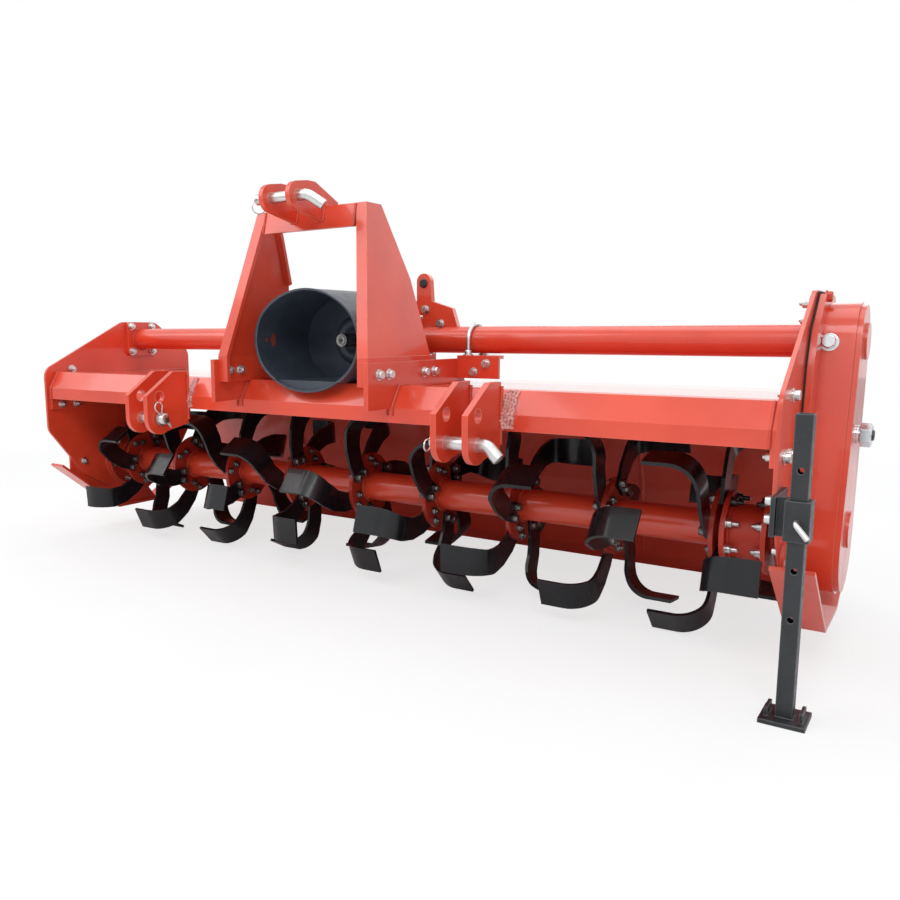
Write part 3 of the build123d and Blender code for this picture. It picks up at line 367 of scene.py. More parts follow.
# Tine bolts: plain steel gone grey, with oil in the corners
boltSteel = metal("oiled plain steel", {"base": "#8D8B88", "deep": "#4C4A48", "grain": 4.0,
                                        "gloss": (0.28, 0.5), "bump": 0.3, "edge": 0.8})

# Input shaft: turned steel under old grease, so it is dull
steelSkin = metal("turned steel", {"base": "#A6A4A2", "deep": "#7C7976", "grain": 2.5,
                                   "gloss": (0.34, 0.52), "bump": 0.2, "edge": 0.8})
print("materials ready")

slotLooks = {"red_paint": redPaint, "black_steel": reelPaint, "black_paint": standPaint,
             "zinc": zincSkin, "bright_steel": steelSkin, "black_plastic": guardSkin}
nodeLooks = {"gearbox": castPaint, "bearing_left": castPaint, "bearing_right": castPaint,
             "drive_hub": castPaint, "front_beam": beamPaint, "lower_ears_left": earPaint,
             "lower_ears_right": earPaint, "top_link_ears": earPaint, "hood_deck": deckPaint}
for part in frame["record"]["subparts"]:
    mesh = nodes[part["node"]].data
    mesh.materials.clear()
    mesh.materials.append(nodeLooks.get(part["node"], slotLooks[part["material_slot"]]))

# Studio floor: pale matt board that keeps the soft shadow and fades into the white behind
floor = {"half": 12.0, "fade": (1.9, 3.6), "thin": 0.7, "mottle": 400.0}
floorMesh = bpy.data.meshes.new("floor")
half = floor["half"]
floorMesh.from_pydata([(-half, -half, 0), (half, -half, 0), (half, half, 0), (-half, half, 0)], [],
                      [(0, 1, 2, 3)])
floorObject = bpy.data.objects.new("floor", floorMesh)
scene.collection.objects.link(floorObject)
floorSkin, tree, body, place = newMaterial("pale floor", {"Roughness": 0.9, "Specular IOR Level": 0.1})
mottle = addNode(tree, "TexNoise", {"Vector": place, "Scale": 1000.0 / floor["mottle"], "Detail": 3.0})
mottle = addNode(tree, "MapRange", (mottle, 0.3, 0.7, 0.0, 1.0))
board = addNode(tree, "Mix", {0: mottle, 6: "#FAFAFA", 7: "#F6F6F6"}, 2, data_type="RGBA")
tree.links.new(board, body.inputs["Base Color"])
away = farFrom(tree, place, (0.0, 0.0, 0.0), (1.0, 1.0, 0.0))
fade = addNode(tree, "MapRange", (away, *floor["fade"], floor["thin"], 1.0))
gone = addNode(tree, "Math", (fade, addNode(tree, "LightPath", (), "Is Camera Ray")),
               operation="MULTIPLY")
shown = addNode(tree, "MixShader", (gone, body.outputs[0], addNode(tree, "BsdfTransparent")))
floorOut = next(n for n in tree.nodes if n.type == "OUTPUT_MATERIAL")
tree.links.new(shown, floorOut.inputs["Surface"])
floorMesh.materials.append(floorSkin)
print("floor laid")


def toFrame(points):
    # Rotor-frame millimetres to frame metres
    return (np.asarray(points, float) + (rotorX, rotorY, 0.0)) / 1000.0


def basis(axis):
    # Two unit vectors across an axis, and the axis itself, as rows
    along = np.asarray(axis, float)
    along = along / np.linalg.norm(along)
    spare = np.array((0.0, 0.0, 1.0)) if abs(along[2]) < 0.9 else np.array((1.0, 0.0, 0.0))
    across = np.cross(spare, along)
    across = across / np.linalg.norm(across)
    return np.array((across, np.cross(along, across), along))


def gridFaces(rows, columns, closedRows=False):
    # Quads of a grid whose columns close on themselves, wound so that they face outwards
    r = np.arange(rows if closedRows else rows - 1)[:, None]
    c = np.arange(columns)[None, :]
    nextR, nextC = (r + 1) % rows, (c + 1) % columns
    corners = (r * columns + c, r * columns + nextC, nextR * columns + nextC, nextR * columns + c)
    return np.stack([corner.ravel() for corner in corners], 1)


class Heap:
    # Collects surfaces, each a grid of rings, and makes one mesh of them. The functions that add
    # a surface hand the heap back, so that a piece with one surface takes one statement

    def __init__(self):
        self.points, self.quads, self.caps, self.count = [], [], [], 0

    def grid(self, points, columns, closedRows=False):
        rows = len(points) // columns
        self.points.append(points)
        self.quads.append(gridFaces(rows, columns, closedRows) + self.count)
        if not closedRows:
            self.caps.append((np.arange(columns)[::-1] + self.count).tolist())
            self.caps.append((np.arange(columns) + (rows - 1) * columns + self.count).tolist())
        self.count += len(points)
        return self

    def mesh(self, name, material, body, slot, smoothAngle=40.0):
        data = bpy.data.meshes.new(name)
        faces = np.concatenate(self.quads).tolist() + self.caps
        data.from_pydata(toFrame(np.concatenate(self.points)).tolist(), [], faces)
        data.polygons.foreach_set("use_smooth", np.ones(len(data.polygons), bool))
        data.set_sharp_from_angle(angle=math.radians(smoothAngle))
        data.materials.append(material)
        data.update()
        piece = bpy.data.objects.new(name, data)
        scene.collection.objects.link(piece)
        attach(piece, body)
        return piece


def turned(heap, place, axis, profile, sides=20, hexRows=()):
    # A surface of revolution: each profile row is a radius and a height along the axis. Rows in
    # hexRows are hexagons: half the width across flats over the cosine of the angle from a flat
    angles = np.arange(sides) * 2 * math.pi / sides
    fromFlat = (angles + math.pi / 6) % (math.pi / 3) - math.pi / 6
    profile = np.asarray(profile, float)
    shape = np.where(np.isin(np.arange(len(profile)), hexRows)[:, None], 1.0 / np.cos(fromFlat), 1.0)
    radius = profile[:, :1] * shape
    heights = np.broadcast_to(profile[:, 1:], radius.shape)
    rings = np.stack((radius * np.cos(angles), radius * np.sin(angles), heights), 2)
    return heap.grid(rings.reshape(-1, 3) @ basis(axis) + np.asarray(place, float), sides)


def hexBolt(heap, place, axis, flats, washer=True, stud=0.0, sides=18):
    # A hexagon head or nut with a chamfered crown, on a washer, with its thread end if any
    half = flats / 2
    base = half * 0.24 if washer else 0.0
    top = base + half * 1.12
    profile = [(half * 1.42, 0.0), (half * 1.42, base)] if washer else []
    hexRows = (len(profile), len(profile) + 1)
    profile += [(half * 0.985, base), (half * 0.985, top - half * 0.16), (half * 0.94, top)]
    if stud:
        profile += [(half * 0.56, top), (half * 0.56, top + stud - 1.5), (half * 0.44, top + stud)]
    return turned(heap, place, axis, profile, sides, hexRows)


def boltThrough(heap, nutX, headX, y, z, way, flats, stud):
    # A bolt along X: nut and thread end stand on the face at nutX, its head on the one at headX
    hexBolt(heap, (nutX, y, z), (way, 0, 0), flats, stud=stud)
    hexBolt(heap, (headX, y, z), (-way, 0, 0), flats)


def sweep(heap, path, radius, sides=12, closed=False, ripple=0.0, ripplePitch=5.0):
    # A round bar along a path: each ring sits across the path, and its radius, one number or one
    # for each point, rises and falls by the share ripple once in ripplePitch millimetres
    points = np.asarray(path, float)
    if closed:
        tangent = np.roll(points, -1, 0) - np.roll(points, 1, 0)
    else:
        tangent = np.gradient(points, axis=0)
    tangent /= np.linalg.norm(tangent, axis=1)[:, None]
    run = np.concatenate(([0.0], np.cumsum(np.linalg.norm(np.diff(points, axis=0), axis=1))))
    centred = points - points.mean(0)
    spare = np.linalg.svd(centred, full_matrices=False)[2][-1]
    if np.abs(tangent @ spare).max() > 0.9:
        spare = np.eye(3)[np.argmin(np.abs(tangent).max(0))]
    across = np.cross(spare, tangent)
    across /= np.linalg.norm(across, axis=1)[:, None]
    upward = np.cross(tangent, across)
    angles = np.arange(sides) * 2 * math.pi / sides
    size = radius * (1.0 + ripple * np.sin(2 * math.pi * run / ripplePitch))
    ring = (across[:, None, :] * np.cos(angles)[None, :, None]
            + upward[:, None, :] * np.sin(angles)[None, :, None])
    surface = points[:, None, :] + ring * size[:, None, None]
    return heap.grid(surface.reshape(-1, 3), sides, closed)


def dense(corners, step):
    # Points every step millimetres along straight runs between corners
    corners = np.asarray(corners, float)
    pieces = []
    for start, end in zip(corners[:-1], corners[1:]):
        count = max(int(np.linalg.norm(end - start) / step), 1)
        pieces.append(start + (end - start) * (np.arange(count)[:, None] / count))
    return np.concatenate(pieces + [corners[-1:]])


def arc(centre, across, upward, radius, start, end, count):
    # Points of a circle arc, from start to end degrees, in the plane of two unit vectors
    angles = np.radians(np.linspace(start, end, count))[:, None]
    return (np.asarray(centre, float) + radius * (np.cos(angles) * np.asarray(across, float)
                                                  + np.sin(angles) * np.asarray(upward, float)))


def weldRing(heap, x, y, z, radius, bead=3.6, pitch=7.3, ripple=0.12, count=72):
    # A closed bead, rippled or smooth, round a bar or disc whose axis lies along X
    sweep(heap, arc((x, y, z), unitY, unitZ, radius, 0.0, 355.0, count), bead, 8,
          closed=True, ripple=ripple, ripplePitch=pitch)


def spotsRound(radius, count, first=0.5):
    # Places on a circle in equal steps, from the share first of a step: radius by cosine and sine
    for step in range(count):
        angle = 2 * math.pi * (step + first) / count
        yield radius * math.cos(angle), radius * math.sin(angle)


def box(node):
    # Lowest and highest corner of a CAD node, in rotor-frame millimetres
    return [np.asarray(corner, float) * 1000.0 - (rotorX, rotorY, 0.0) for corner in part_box(node)]


plateSides = ((plateLeft, 1), (plateRight, -1))  # inner faces, and the way inwards
plateThick = box("side_plate_right")[1][0] - plateRight
tubeBox = box("toolbar_tube_right")
tubeY = (tubeBox[0][1] + tubeBox[1][1]) / 2
tubeZ = (tubeBox[0][2] + tubeBox[1][2]) / 2
beamFront, beamTop = box("front_beam")[0][1], box("front_beam")[1][2]
unitX, unitY, unitZ = np.eye(3)
print("places read")

# Rotor: tine bolts, the welds of its flanges and the coupling's bolts
rootLean = math.radians(reel["rootAngle"])
along = np.array((math.sin(rootLean), math.cos(rootLean)))
beside = np.array((-math.cos(rootLean), math.sin(rootLean)))
tineBolts, reelWelds = Heap(), Heap()
for index in range(reel["count"]):
    flangeX = firstX + reelPitch * index
    for step in range(reel["tines"]):
        angle = math.radians(reel["phase"] - reel["step"] * (reel["count"] - 1 - index)
                             + step * 360.0 / reel["tines"])
        way = 1 if step % 2 == 1 else -1
        bladeX = flangeX + way * (reel["flangeHalf"] + reel["tineThick"])
        faces = ((way, bladeX, 0.0), (-way, flangeX - way * reel["flangeHalf"], reel["stud"]))
        for shift in (-1, 1):
            spot = (np.array((0.0, reel["rootR"])) + along * reel["out"]
                    + beside * shift * reel["spread"])
            y = spot[0] * math.cos(angle) - spot[1] * math.sin(angle)
            z = spot[0] * math.sin(angle) + spot[1] * math.cos(angle) + rotorZ
            for faceWay, faceX, stud in faces:
                # The coupling covers the last flange's right face
                if faceWay < 0 or index < reel["count"] - 1:
                    hexBolt(tineBolts, (faceX, y, z), (faceWay, 0, 0), reel["flats"],
                            washer=stud == 0.0, stud=stud, sides=12)
    for way in (-1, 1):
        weldRing(reelWelds, flangeX + way * (reel["flangeHalf"] + 1.0), 0.0, rotorZ, reel["weldR"])
tineBolts.mesh("tine_bolts", boltSteel, "rotor", "black_steel")

# Coupling: eight bolts with their nuts, two of them new and bright, and a weld at each end
hub = {"boltR": 73.0, "count": 8, "new": (3, 4), "flats": 18.0, "flange": 10.0,
       "studs": (14.0, 9.0), "weldR": 61.5, "weldX": 34.0}
hubLo, hubHi = box("drive_hub")
oldBolts, newBolts = Heap(), Heap()
for index, (y, z) in enumerate(spotsRound(hub["boltR"], hub["count"])):
    heap = newBolts if index in hub["new"] else oldBolts
    for x, way, stud in ((hubLo[0] + hub["flange"], unitX, hub["studs"][0]),
                         (hubHi[0] - hub["flange"], -unitX, hub["studs"][1])):
        hexBolt(heap, (x, y, z + rotorZ), way, hub["flats"], stud=stud)
newBolts.mesh("coupling_bolts_new", zincSkin, "rotor", "zinc")
for side in (-1, 1):
    weldRing(reelWelds, (hubLo[0] + hubHi[0]) / 2 + side * hub["weldX"], 0.0, rotorZ, hub["weldR"])
reelWelds.mesh("rotor_welds", weldPaint, "rotor", "red_paint")
oldBolts.mesh("coupling_bolts", greaseSkin, "rotor", "black_steel")

# Bearings: six nuts on each, on their studs' ends
bearing = {"boltR": 79.0, "count": 6, "first": 0.25, "flats": 17.0, "foot": 6.0, "stud": 4.0,
           "weldR": 101.0, "bead": 3.2}
bearLeft, bearRight = box("bearing_left"), box("bearing_right")
bearingNuts = Heap()
for y, z in spotsRound(bearing["boltR"], bearing["count"], bearing["first"]):
    for x, way in ((bearLeft[0][0] + bearing["foot"], unitX),
                   (bearRight[1][0] - bearing["foot"], -unitX)):
        hexBolt(bearingNuts, (x, y, z + rotorZ), way, bearing["flats"], stud=bearing["stud"])
bearingNuts.mesh("bearing_bolts", zincSkin, "frame", "zinc")
print("rotor dressed")

# Fasteners of the frame: the toolbar tubes' square flanges
frameBolts = Heap()
tubeFlange = {"spread": 43.0, "thick": 12.0, "flats": 19.0, "stud": 3.0}
for face, way in plateSides:
    for dy in (-1, 1):
        for dz in (-1, 1):
            y, z = tubeY + dy * tubeFlange["spread"], tubeZ + dz * tubeFlange["spread"]
            hexBolt(frameBolts, (face + way * tubeFlange["thick"], y, z), (way, 0, 0),
                    tubeFlange["flats"], stud=tubeFlange["stud"])
            if way == 1:
                hexBolt(frameBolts, (face - plateThick, y, z), (-1, 0, 0), tubeFlange["flats"])

# The tubes' round flanges on the gearbox
roundFlange = {"radius": 60.0, "count": 6, "thick": 12.0, "flats": 19.0}
boxLo, boxHi = box("gearbox")
for face, way in ((boxLo[0] - roundFlange["thick"], -1), (boxHi[0] + roundFlange["thick"], 1)):
    for y, z in spotsRound(roundFlange["radius"], roundFlange["count"]):
        hexBolt(frameBolts, (face, tubeY + y, tubeZ + z), (way, 0, 0), roundFlange["flats"])

# The front beam's ends: y, z and how far its own plate lifts the nut
beamEnd = {"spots": ((-214.0, 557.0, 0.0), (-264.0, 447.0, 10.0), (-210.0, 446.0, 10.0)),
           "flats": 19.0, "stud": 5.0}
for face, way in plateSides:
    for y, z, thick in beamEnd["spots"]:
        boltThrough(frameBolts, face + way * thick, face - way * plateThick, y, z, way,
                    beamEnd["flats"], beamEnd["stud"])

# The mast's legs, bolted through their lug plates
mastBolts = {"y": (-352.0, -312.0, -162.0, -118.0), "z": 578.0, "leg": 10.0, "flats": 18.0,
             "stud": 4.0}
lugLeft, lugRight = box("mast_lug_left"), box("mast_lug_right")
for y in mastBolts["y"]:
    for nutX, headX, way in ((lugLeft[1][0] + mastBolts["leg"], lugLeft[0][0], 1),
                             (lugRight[0][0] - mastBolts["leg"], lugRight[1][0], -1)):
        boltThrough(frameBolts, nutX, headX, y, mastBolts["z"], way, mastBolts["flats"],
                    mastBolts["stud"])

# Single bolts of the side plates: place, way, flats, thread end
looseSpots = (
    ((plateRight, -292.0, 372.0), -unitX, 19.0, 0.0),
    ((plateRight, -292.0, 338.0), -unitX, 19.0, 0.0),
    ((plateRight, -44.0, 728.0), -unitX, 19.0, 6.0),
    ((plateRight, -218.0, 262.0), -unitX, 14.0, 0.0),
    ((plateRight + plateThick, -142.0, 236.0), unitX, 17.0, 0.0),
    ((plateLeft, -188.0, 249.0), unitX, 17.0, 3.0),
    ((plateLeft, 30.0, 150.0), unitX, 17.0, 3.0),
    ((plateRight, 30.0, 150.0), -unitX, 17.0, 3.0),
)
for place, way, flats, stud in looseSpots:
    hexBolt(frameBolts, place, way, flats, stud=stud)

# The skids' bolts, outside both side plates
skid = {"spots": ((-142.0, 220.0), (30.0, 138.0), (-60.0, 138.0)), "thick": 6.0, "flats": 17.0}
for y, z in skid["spots"]:
    hexBolt(frameBolts, (plateLeft - plateThick - skid["thick"], y, z), -unitX, skid["flats"])
    hexBolt(frameBolts, (plateRight + plateThick + skid["thick"], y, z), unitX, skid["flats"])

# The stay's bracket: two bolts through it, and a ring pressed into its eye on both faces
stay = {"thick": 16.0, "spots": ((176.0, 734.0), (224.0, 696.0)), "flats": 17.0, "stud": 4.0,
        "eye": (22.0, 26.0), "ring": ((8.1, 0.0), (12.5, 0.0), (12.5, 2.2), (11.0, 3.0), (8.1, 3.0))}
bracketLo, bracketHi = box("stay_bracket")
bracketFront = (bracketLo[1] + bracketHi[1]) / 2 - stay["thick"] / 2
eyeRing = Heap()
for y, way, stud in ((bracketFront, -unitY, 0.0), (bracketFront + stay["thick"], unitY, stay["stud"])):
    for x, z in stay["spots"]:
        hexBolt(frameBolts, (x, y, z), way, stay["flats"], stud=stud)
    turned(eyeRing, (bracketLo[0] + stay["eye"][0], y, bracketHi[2] - stay["eye"][1]), way,
           stay["ring"], 28)
eyeRing.mesh("bracket_eye_ring", greaseSkin, "frame", "black_steel")

# Clamps: a U-bolt over the toolbar tube, its nuts below, and bolts through the front plate
clamp = {"rod": 5.6, "reach": 41.0, "from": 17.5, "drop": 22.0, "nut": 19.0,
         "bolts": ((48.0, 572.0), (84.0, 594.0)), "flats": 17.0, "plate": 8.0,
         "corner": (54.0, 24.0), "front": 58.0, "side": 50.0, "back": 88.0}
shackles = Heap()
for name, way in (("left", -1), ("right", 1)):
    clampLo, clampHi = box(f"tube_clamp_{name}")
    inner = clampLo[0] if way == 1 else clampHi[0]
    x = inner + way * clamp["from"]
    plateUnder = clampHi[2] - clamp["plate"]
    bow = arc((x, tubeY, tubeZ), unitY, unitZ, clamp["reach"], 0.0, 180.0, 25)
    legEnds = [(x, tubeY + dy * clamp["reach"], plateUnder - clamp["drop"]) for dy in (1, -1)]
    sweep(shackles, np.concatenate((legEnds[:1], bow, legEnds[1:])), clamp["rod"], 14)
    for dy in (-1, 1):
        for axis, z in ((unitZ, clampHi[2]), (-unitZ, plateUnder)):
            hexBolt(shackles, (x, tubeY + dy * clamp["reach"], z), axis, clamp["nut"])
    for shift, z in clamp["bolts"]:
        hexBolt(frameBolts, (inner + way * shift, clampLo[1], z), -unitY, clamp["flats"])
shackles.mesh("toolbar_u_bolts", zincSkin, "frame", "zinc")
frameBolts.mesh("frame_bolts", zincSkin, "frame", "zinc")
print("clamps dressed")

# Chain case: nut and stud end of the chain tightener. Profile rows are a radius and a height
nut = {"half": 21.5, "collar": 19.0, "neck": 14.0, "stud": 11.0, "studFrom": 26.0}
nutLo, nutHi = box("chain_cover_nut")
nutPlace = np.array((nutLo[0], *((nutLo + nutHi) / 2)[1:]))
studTall = nutHi[0] - nutLo[0] - nut["studFrom"]
nutLine = ((nut["collar"], 0.0), (nut["collar"], 4.0), (nut["collar"] - 1.2, 5.0),
           (nut["neck"], 5.0), (nut["neck"], 6.5), (nut["half"] * 0.96, 6.5), (nut["half"], 8.0),
           (nut["half"], 25.5), (nut["half"] * 0.92, 28.0), (nut["stud"] + 2.0, 28.0))
tightener = turned(Heap(), nutPlace, unitX, nutLine, 36, (6, 7))
tightenerNut = tightener.mesh("tightener_nut", chromeSkin, "frame", "zinc", 30.0)
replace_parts(tightenerNut, "chain_cover_nut")
studEnd = turned(Heap(), nutPlace + unitX * nut["studFrom"], unitX,
                 ((nut["stud"], 0.0), (nut["stud"], studTall - 1.5), (nut["stud"] - 2.0, studTall)), 24)
studEnd.mesh("tightener_stud", greaseSkin, "frame", "black_steel")

# The oil's level plug leans with the case's front edge
level = {"in": 28.0, "before": 79.0, "z": 651.0, "flats": 25.0, "lean": 1.12}
caseLean = math.atan2(tubeY, tubeZ - rotorZ) * level["lean"]
levelX = box("chain_case")[0][0] + level["in"]
levelPlug = hexBolt(Heap(), (levelX, tubeY - level["before"], level["z"]),
                    (0.0, -math.cos(caseLean), math.sin(caseLean)), level["flats"], sides=36)
levelPlug.mesh("level_plug", chromeSkin, "frame", "zinc", 30.0)

# Bolts painted over with their castings: the case's head, the gearbox's lid and its back cover
headBolt = {"out": 10.0, "y": 26.0, "z": 742.0, "flats": 19.0}
lid = {"x": 36.0, "y": 82.0, "backR": 55.0, "backCount": 8, "flats": 13.0}
plateFace = plateRight + plateThick
paintedBolts = Heap()
hexBolt(paintedBolts, (plateFace + headBolt["out"], headBolt["y"], headBolt["z"]), unitX,
        headBolt["flats"], sides=24)
for dx in (-1, 1):
    for dy in (-1, 0, 1):
        hexBolt(paintedBolts, (hitchShift + dx * lid["x"], tubeY + dy * lid["y"], boxHi[2]),
                unitZ, lid["flats"])
for x, z in spotsRound(lid["backR"], lid["backCount"]):
    hexBolt(paintedBolts, (hitchShift + x, boxHi[1], tubeZ + z), unitY, lid["flats"])
paintedBolts.mesh("painted_bolts", castPaint, "frame", "red_paint")


def slab(heap, outline, start, end, upright=False):
    # A plate along X: the same closed outline of y and z at both ends, capped; upright, it runs
    # along Z and its outline is of x and y
    outline = np.asarray(outline, float)
    rows = [np.column_stack((np.full(len(outline), x), outline)) for x in (start, end)]
    return heap.grid(np.roll(np.concatenate(rows), -int(upright), axis=1), len(outline))


# The case's seal strip and the plate behind it: one outline of y and z, with a round foot
seal = {"seal": 3.4, "back": 15.5, "low": 114.0, "share": 0.99}
lowArc = arc((0.0, 0.0, rotorZ), unitY, unitZ, seal["low"], -8.0, -180.0, 34)[:, 1:]
flangeLine = np.concatenate((((0.0, 752.0), (120.0, 752.0), (136.0, 742.0), (150.0, 680.0)), lowArc,
                             ((-114.0, 420.0), (-112.0, 520.0), (-104.0, 604.0), (-78.0, 677.0))))[::-1]
middle = flangeLine.mean(0)
gasket = slab(Heap(), flangeLine, plateFace + 0.1, plateFace + seal["seal"])
backing = slab(Heap(), middle + (flangeLine - middle) * seal["share"], plateFace + seal["seal"],
               plateFace + seal["back"])
gasket.mesh("case_seal", rubberSkin, "frame", "black_plastic")
backing.mesh("case_backing_plate", redPaint, "frame", "red_paint")
print("chain case dressed")

# Lug plates of the mast: their foot follows the beam's fold
lug = {"front": -393.0, "foot": 499.0, "bend": 500.0, "rear": 34.0, "low": 544.0,
       "fold": 30.0, "lap": 70.0}
for name in ("left", "right"):
    lugLo, lugHi = box(f"mast_lug_{name}")
    outline = ((lug["front"], lug["foot"]), (lug["front"], lugHi[2]), (lug["rear"], lugHi[2]),
               (lug["rear"], lug["low"]), (beamFront + lug["lap"], lug["low"]),
               (beamFront + lug["lap"], beamTop), (beamFront + lug["fold"], beamTop),
               (beamFront, lug["bend"]), (beamFront, lug["foot"]))
    lugPlate = slab(Heap(), outline[::-1], lugLo[0], lugHi[0])
    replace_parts(lugPlate.mesh(f"lug_plate_{name}", redPaint, "frame", "red_paint"), f"mast_lug_{name}")

# Clamp plates: the top plate's free rear corner is cut away
for name, way in (("left", -1), ("right", 1)):
    clampLo, clampHi = box(f"tube_clamp_{name}")
    inner, outer = (clampLo[0], clampHi[0]) if way == 1 else (clampHi[0], clampLo[0])
    plateUnder, fold = clampHi[2] - clamp["plate"], clampLo[1] + clamp["plate"]
    top = ((inner, clampLo[1]), (outer, clampLo[1]), (outer, clamp["corner"][1]),
           (inner + way * clamp["corner"][0], clampHi[1]), (inner, clampHi[1]))
    clampHeap = slab(Heap(), top[::way], plateUnder, clampHi[2], upright=True)
    for x, near, far, low in ((outer, clampLo[1], fold, clampHi[2] - clamp["front"]),
                              (inner + way * clamp["plate"], fold, clamp["back"],
                               clampHi[2] - clamp["side"])):
        face = ((inner, near), (x, near), (x, far), (inner, far))
        slab(clampHeap, face[::way], low, plateUnder, upright=True)
    clampPlates = clampHeap.mesh(f"clamp_plates_{name}", redPaint, "frame", "red_paint")
    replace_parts(clampPlates, f"tube_clamp_{name}")


def rounded(corners, radius, step):
    # A path whose inner corners are arcs of the given radius, with points every step millimetres
    corners = np.asarray(corners, float)
    pieces = [corners[:1]]
    for before, here, after in zip(corners[:-2], corners[1:-1], corners[2:]):
        inward = (before - here) / np.linalg.norm(before - here)
        outward = (after - here) / np.linalg.norm(after - here)
        half = math.acos(float(np.clip(inward @ outward, -1, 1))) / 2
        setback = radius / math.tan(half)
        middle = (inward + outward) / np.linalg.norm(inward + outward)
        centre = here + middle * radius / math.sin(half)
        start, end = here + inward * setback - centre, here + outward * setback - centre
        share = np.linspace(0.0, 1.0, 13)[:, None]
        swing = math.pi - 2 * half
        pieces.append(centre + (start * np.sin((1 - share) * swing) + end * np.sin(share * swing))
                      / math.sin(swing))
    pieces.append(corners[-1:])
    return dense(np.concatenate(pieces), step)


def barEnd(heap, path, radius, chamfer, sides=28):
    # A round bar with both ends chamfered: two more rings at each end, the outer one smaller
    points = np.asarray(path, float)
    first, last = points[0] - points[1], points[-1] - points[-2]
    first, last = first / np.linalg.norm(first), last / np.linalg.norm(last)
    line = np.concatenate(([points[0]], [points[0] - first * chamfer], points[1:-1],
                           [points[-1] - last * chamfer], [points[-1]]))
    sizes = np.full(len(line), float(radius))
    sizes[0] = sizes[-1] = radius - chamfer
    return sweep(heap, line, sizes, sides)


def pinBar(name, corners, bend, radius, chamfer=1.6, step=2.5, sides=28):
    # One zinc pin: a bar along rounded corners
    bar = barEnd(Heap(), rounded(corners, bend, step), radius, chamfer, sides)
    return bar.mesh(name, zincSkin, "frame", "zinc", 50.0)


# Hitch pins: smooth bars with a bent handle, in place of the mitred ones. topBend and rightBend
# are where the handle starts along X, and how far its end is from there
pin = {"clear": 0.1, "bend": 24.0, "topBend": (138.0, 30.0, 22.0, -24.0),
       "rightBend": (616.0, 28.0, -27.0)}
topLo = box("top_link_pin")[0]
topY, topZ, topR = pinHoles["top"]
bendX, outX, outY, outZ = pin["topBend"]
topPin = pinBar("top_link_pin_bar",
                ((topLo[0], topY, topZ), (bendX, topY, topZ),
                 (bendX + outX, topY + outY, topZ + outZ)), pin["bend"], topR - pin["clear"])
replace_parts(topPin, "top_link_pin")

pinY, pinZ, pinR = pinHoles["lower"]
rightLo = box("lower_pin_right")[0]
bendX, outX, outZ = pin["rightBend"]
rightPin = pinBar("lower_pin_right_bar",
                  ((rightLo[0], pinY, pinZ), (bendX, pinY, pinZ), (bendX + outX, pinY, pinZ + outZ)),
                  pin["bend"], pinR - pin["clear"])
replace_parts(rightPin, "lower_pin_right")

# The left pin is straight, with a collar for its head
collar = {"radius": 19.0, "thick": 6.6, "chamfer": 1.6}
leftLo, leftHi = box("lower_pin_left")
leftLong, barR = leftHi[0] - leftLo[0], pinR - pin["clear"]
leftLine = ((collar["radius"] - 2.0, 0.0), (collar["radius"], collar["chamfer"]),
            (collar["radius"], collar["thick"]), (barR, collar["thick"] + 0.3),
            (barR, leftLong - collar["chamfer"]), (barR - collar["chamfer"], leftLong))
leftBar = turned(Heap(), (leftLo[0], pinY, pinZ), unitX, leftLine, 28)
leftPin = leftBar.mesh("lower_pin_left_bar", zincSkin, "frame", "zinc", 50.0)
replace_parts(leftPin, "lower_pin_left")

# The stand's pin is thin, with a short handle that hangs down
peg = {"radius": 4.9, "axis": 5.0, "bend": 7.0, "neck": 16.0, "handle": (22.0, -9.0, -23.0)}
standLo, standHi = box("stand_leg")
pegHi = box("stand_pin")[1]
pegEnd = np.array(((standLo[0] + standHi[0]) / 2, pegHi[1], pegHi[2] - peg["axis"]))
pegNeck = pegEnd - unitY * peg["neck"]
standPeg = pinBar("stand_pin_bar", (pegEnd, pegNeck, pegNeck + peg["handle"]), peg["bend"],
                  peg["radius"], 0.8, 1.2, 20)
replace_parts(standPeg, "stand_pin")

# Clips: a hairpin cotter is one wire; the ring of the top pin hangs from a cross pin
wire = {"radius": 2.0, "eye": 12.0, "off": 3.5, "fall": 7.0, "bulge": 12.5, "bulgeLong": 10.0}
clips = Heap()


def hairpin(heap, place, along, side, eyeAt, reach):
    # The wire's line in a plane: a straight leg through the pin, a round eye, and back along the
    # pin's other side, held off it by a bulge that falls away as a bell curve
    place, along, side = (np.asarray(v, float) for v in (place, along, side))
    along, eye = along / np.linalg.norm(along), wire["eye"]
    side = side / np.linalg.norm(side)
    turnBack = arc(place - along * eyeAt + side * eye, -side, -along, eye, 0.0, 235.0, 26)
    run = np.linspace(-eyeAt + 0.82 * eye, reach - 5.0, 40)[:, None]
    off = (wire["off"] + (1.57 * eye - wire["off"]) * np.exp(-(run - run[0]) / wire["fall"])
           + wire["bulge"] * np.exp(-(run / wire["bulgeLong"]) ** 2))
    straight = dense((place + along * reach, place - along * (eyeAt - 1.0)), 3.0)
    sweep(heap, np.concatenate((straight, turnBack, place + along * run[1:] + side * off[1:])),
          wire["radius"], 8)


# Each by its place, the straight leg's way, the side of the bulge, the eye's distance and its reach
hairpin(clips, (leftHi[0] - 7.0, pinY, pinZ), (0.0, 0.7, -0.71), (0.0, 0.71, 0.7), 35.0, 34.0)
hairpin(clips, (rightLo[0] + 6.0, pinY, pinZ), (0.0, 0.8, 0.6), (0.0, -0.6, 0.8), 24.5, 20.0)
topRing = {"in": 8.0, "hang": (-4.0, -17.0), "lean": unitY * 0.85 + unitX * 0.53, "radius": 16.0,
           "wire": 1.6}
ringX = topLo[0] + topRing["in"]
sweep(clips, arc((ringX, topY + topRing["hang"][0], topZ + topRing["hang"][1]), topRing["lean"], unitZ,
                 topRing["radius"], 0.0, 355.0, 40), topRing["wire"], 8, closed=True)
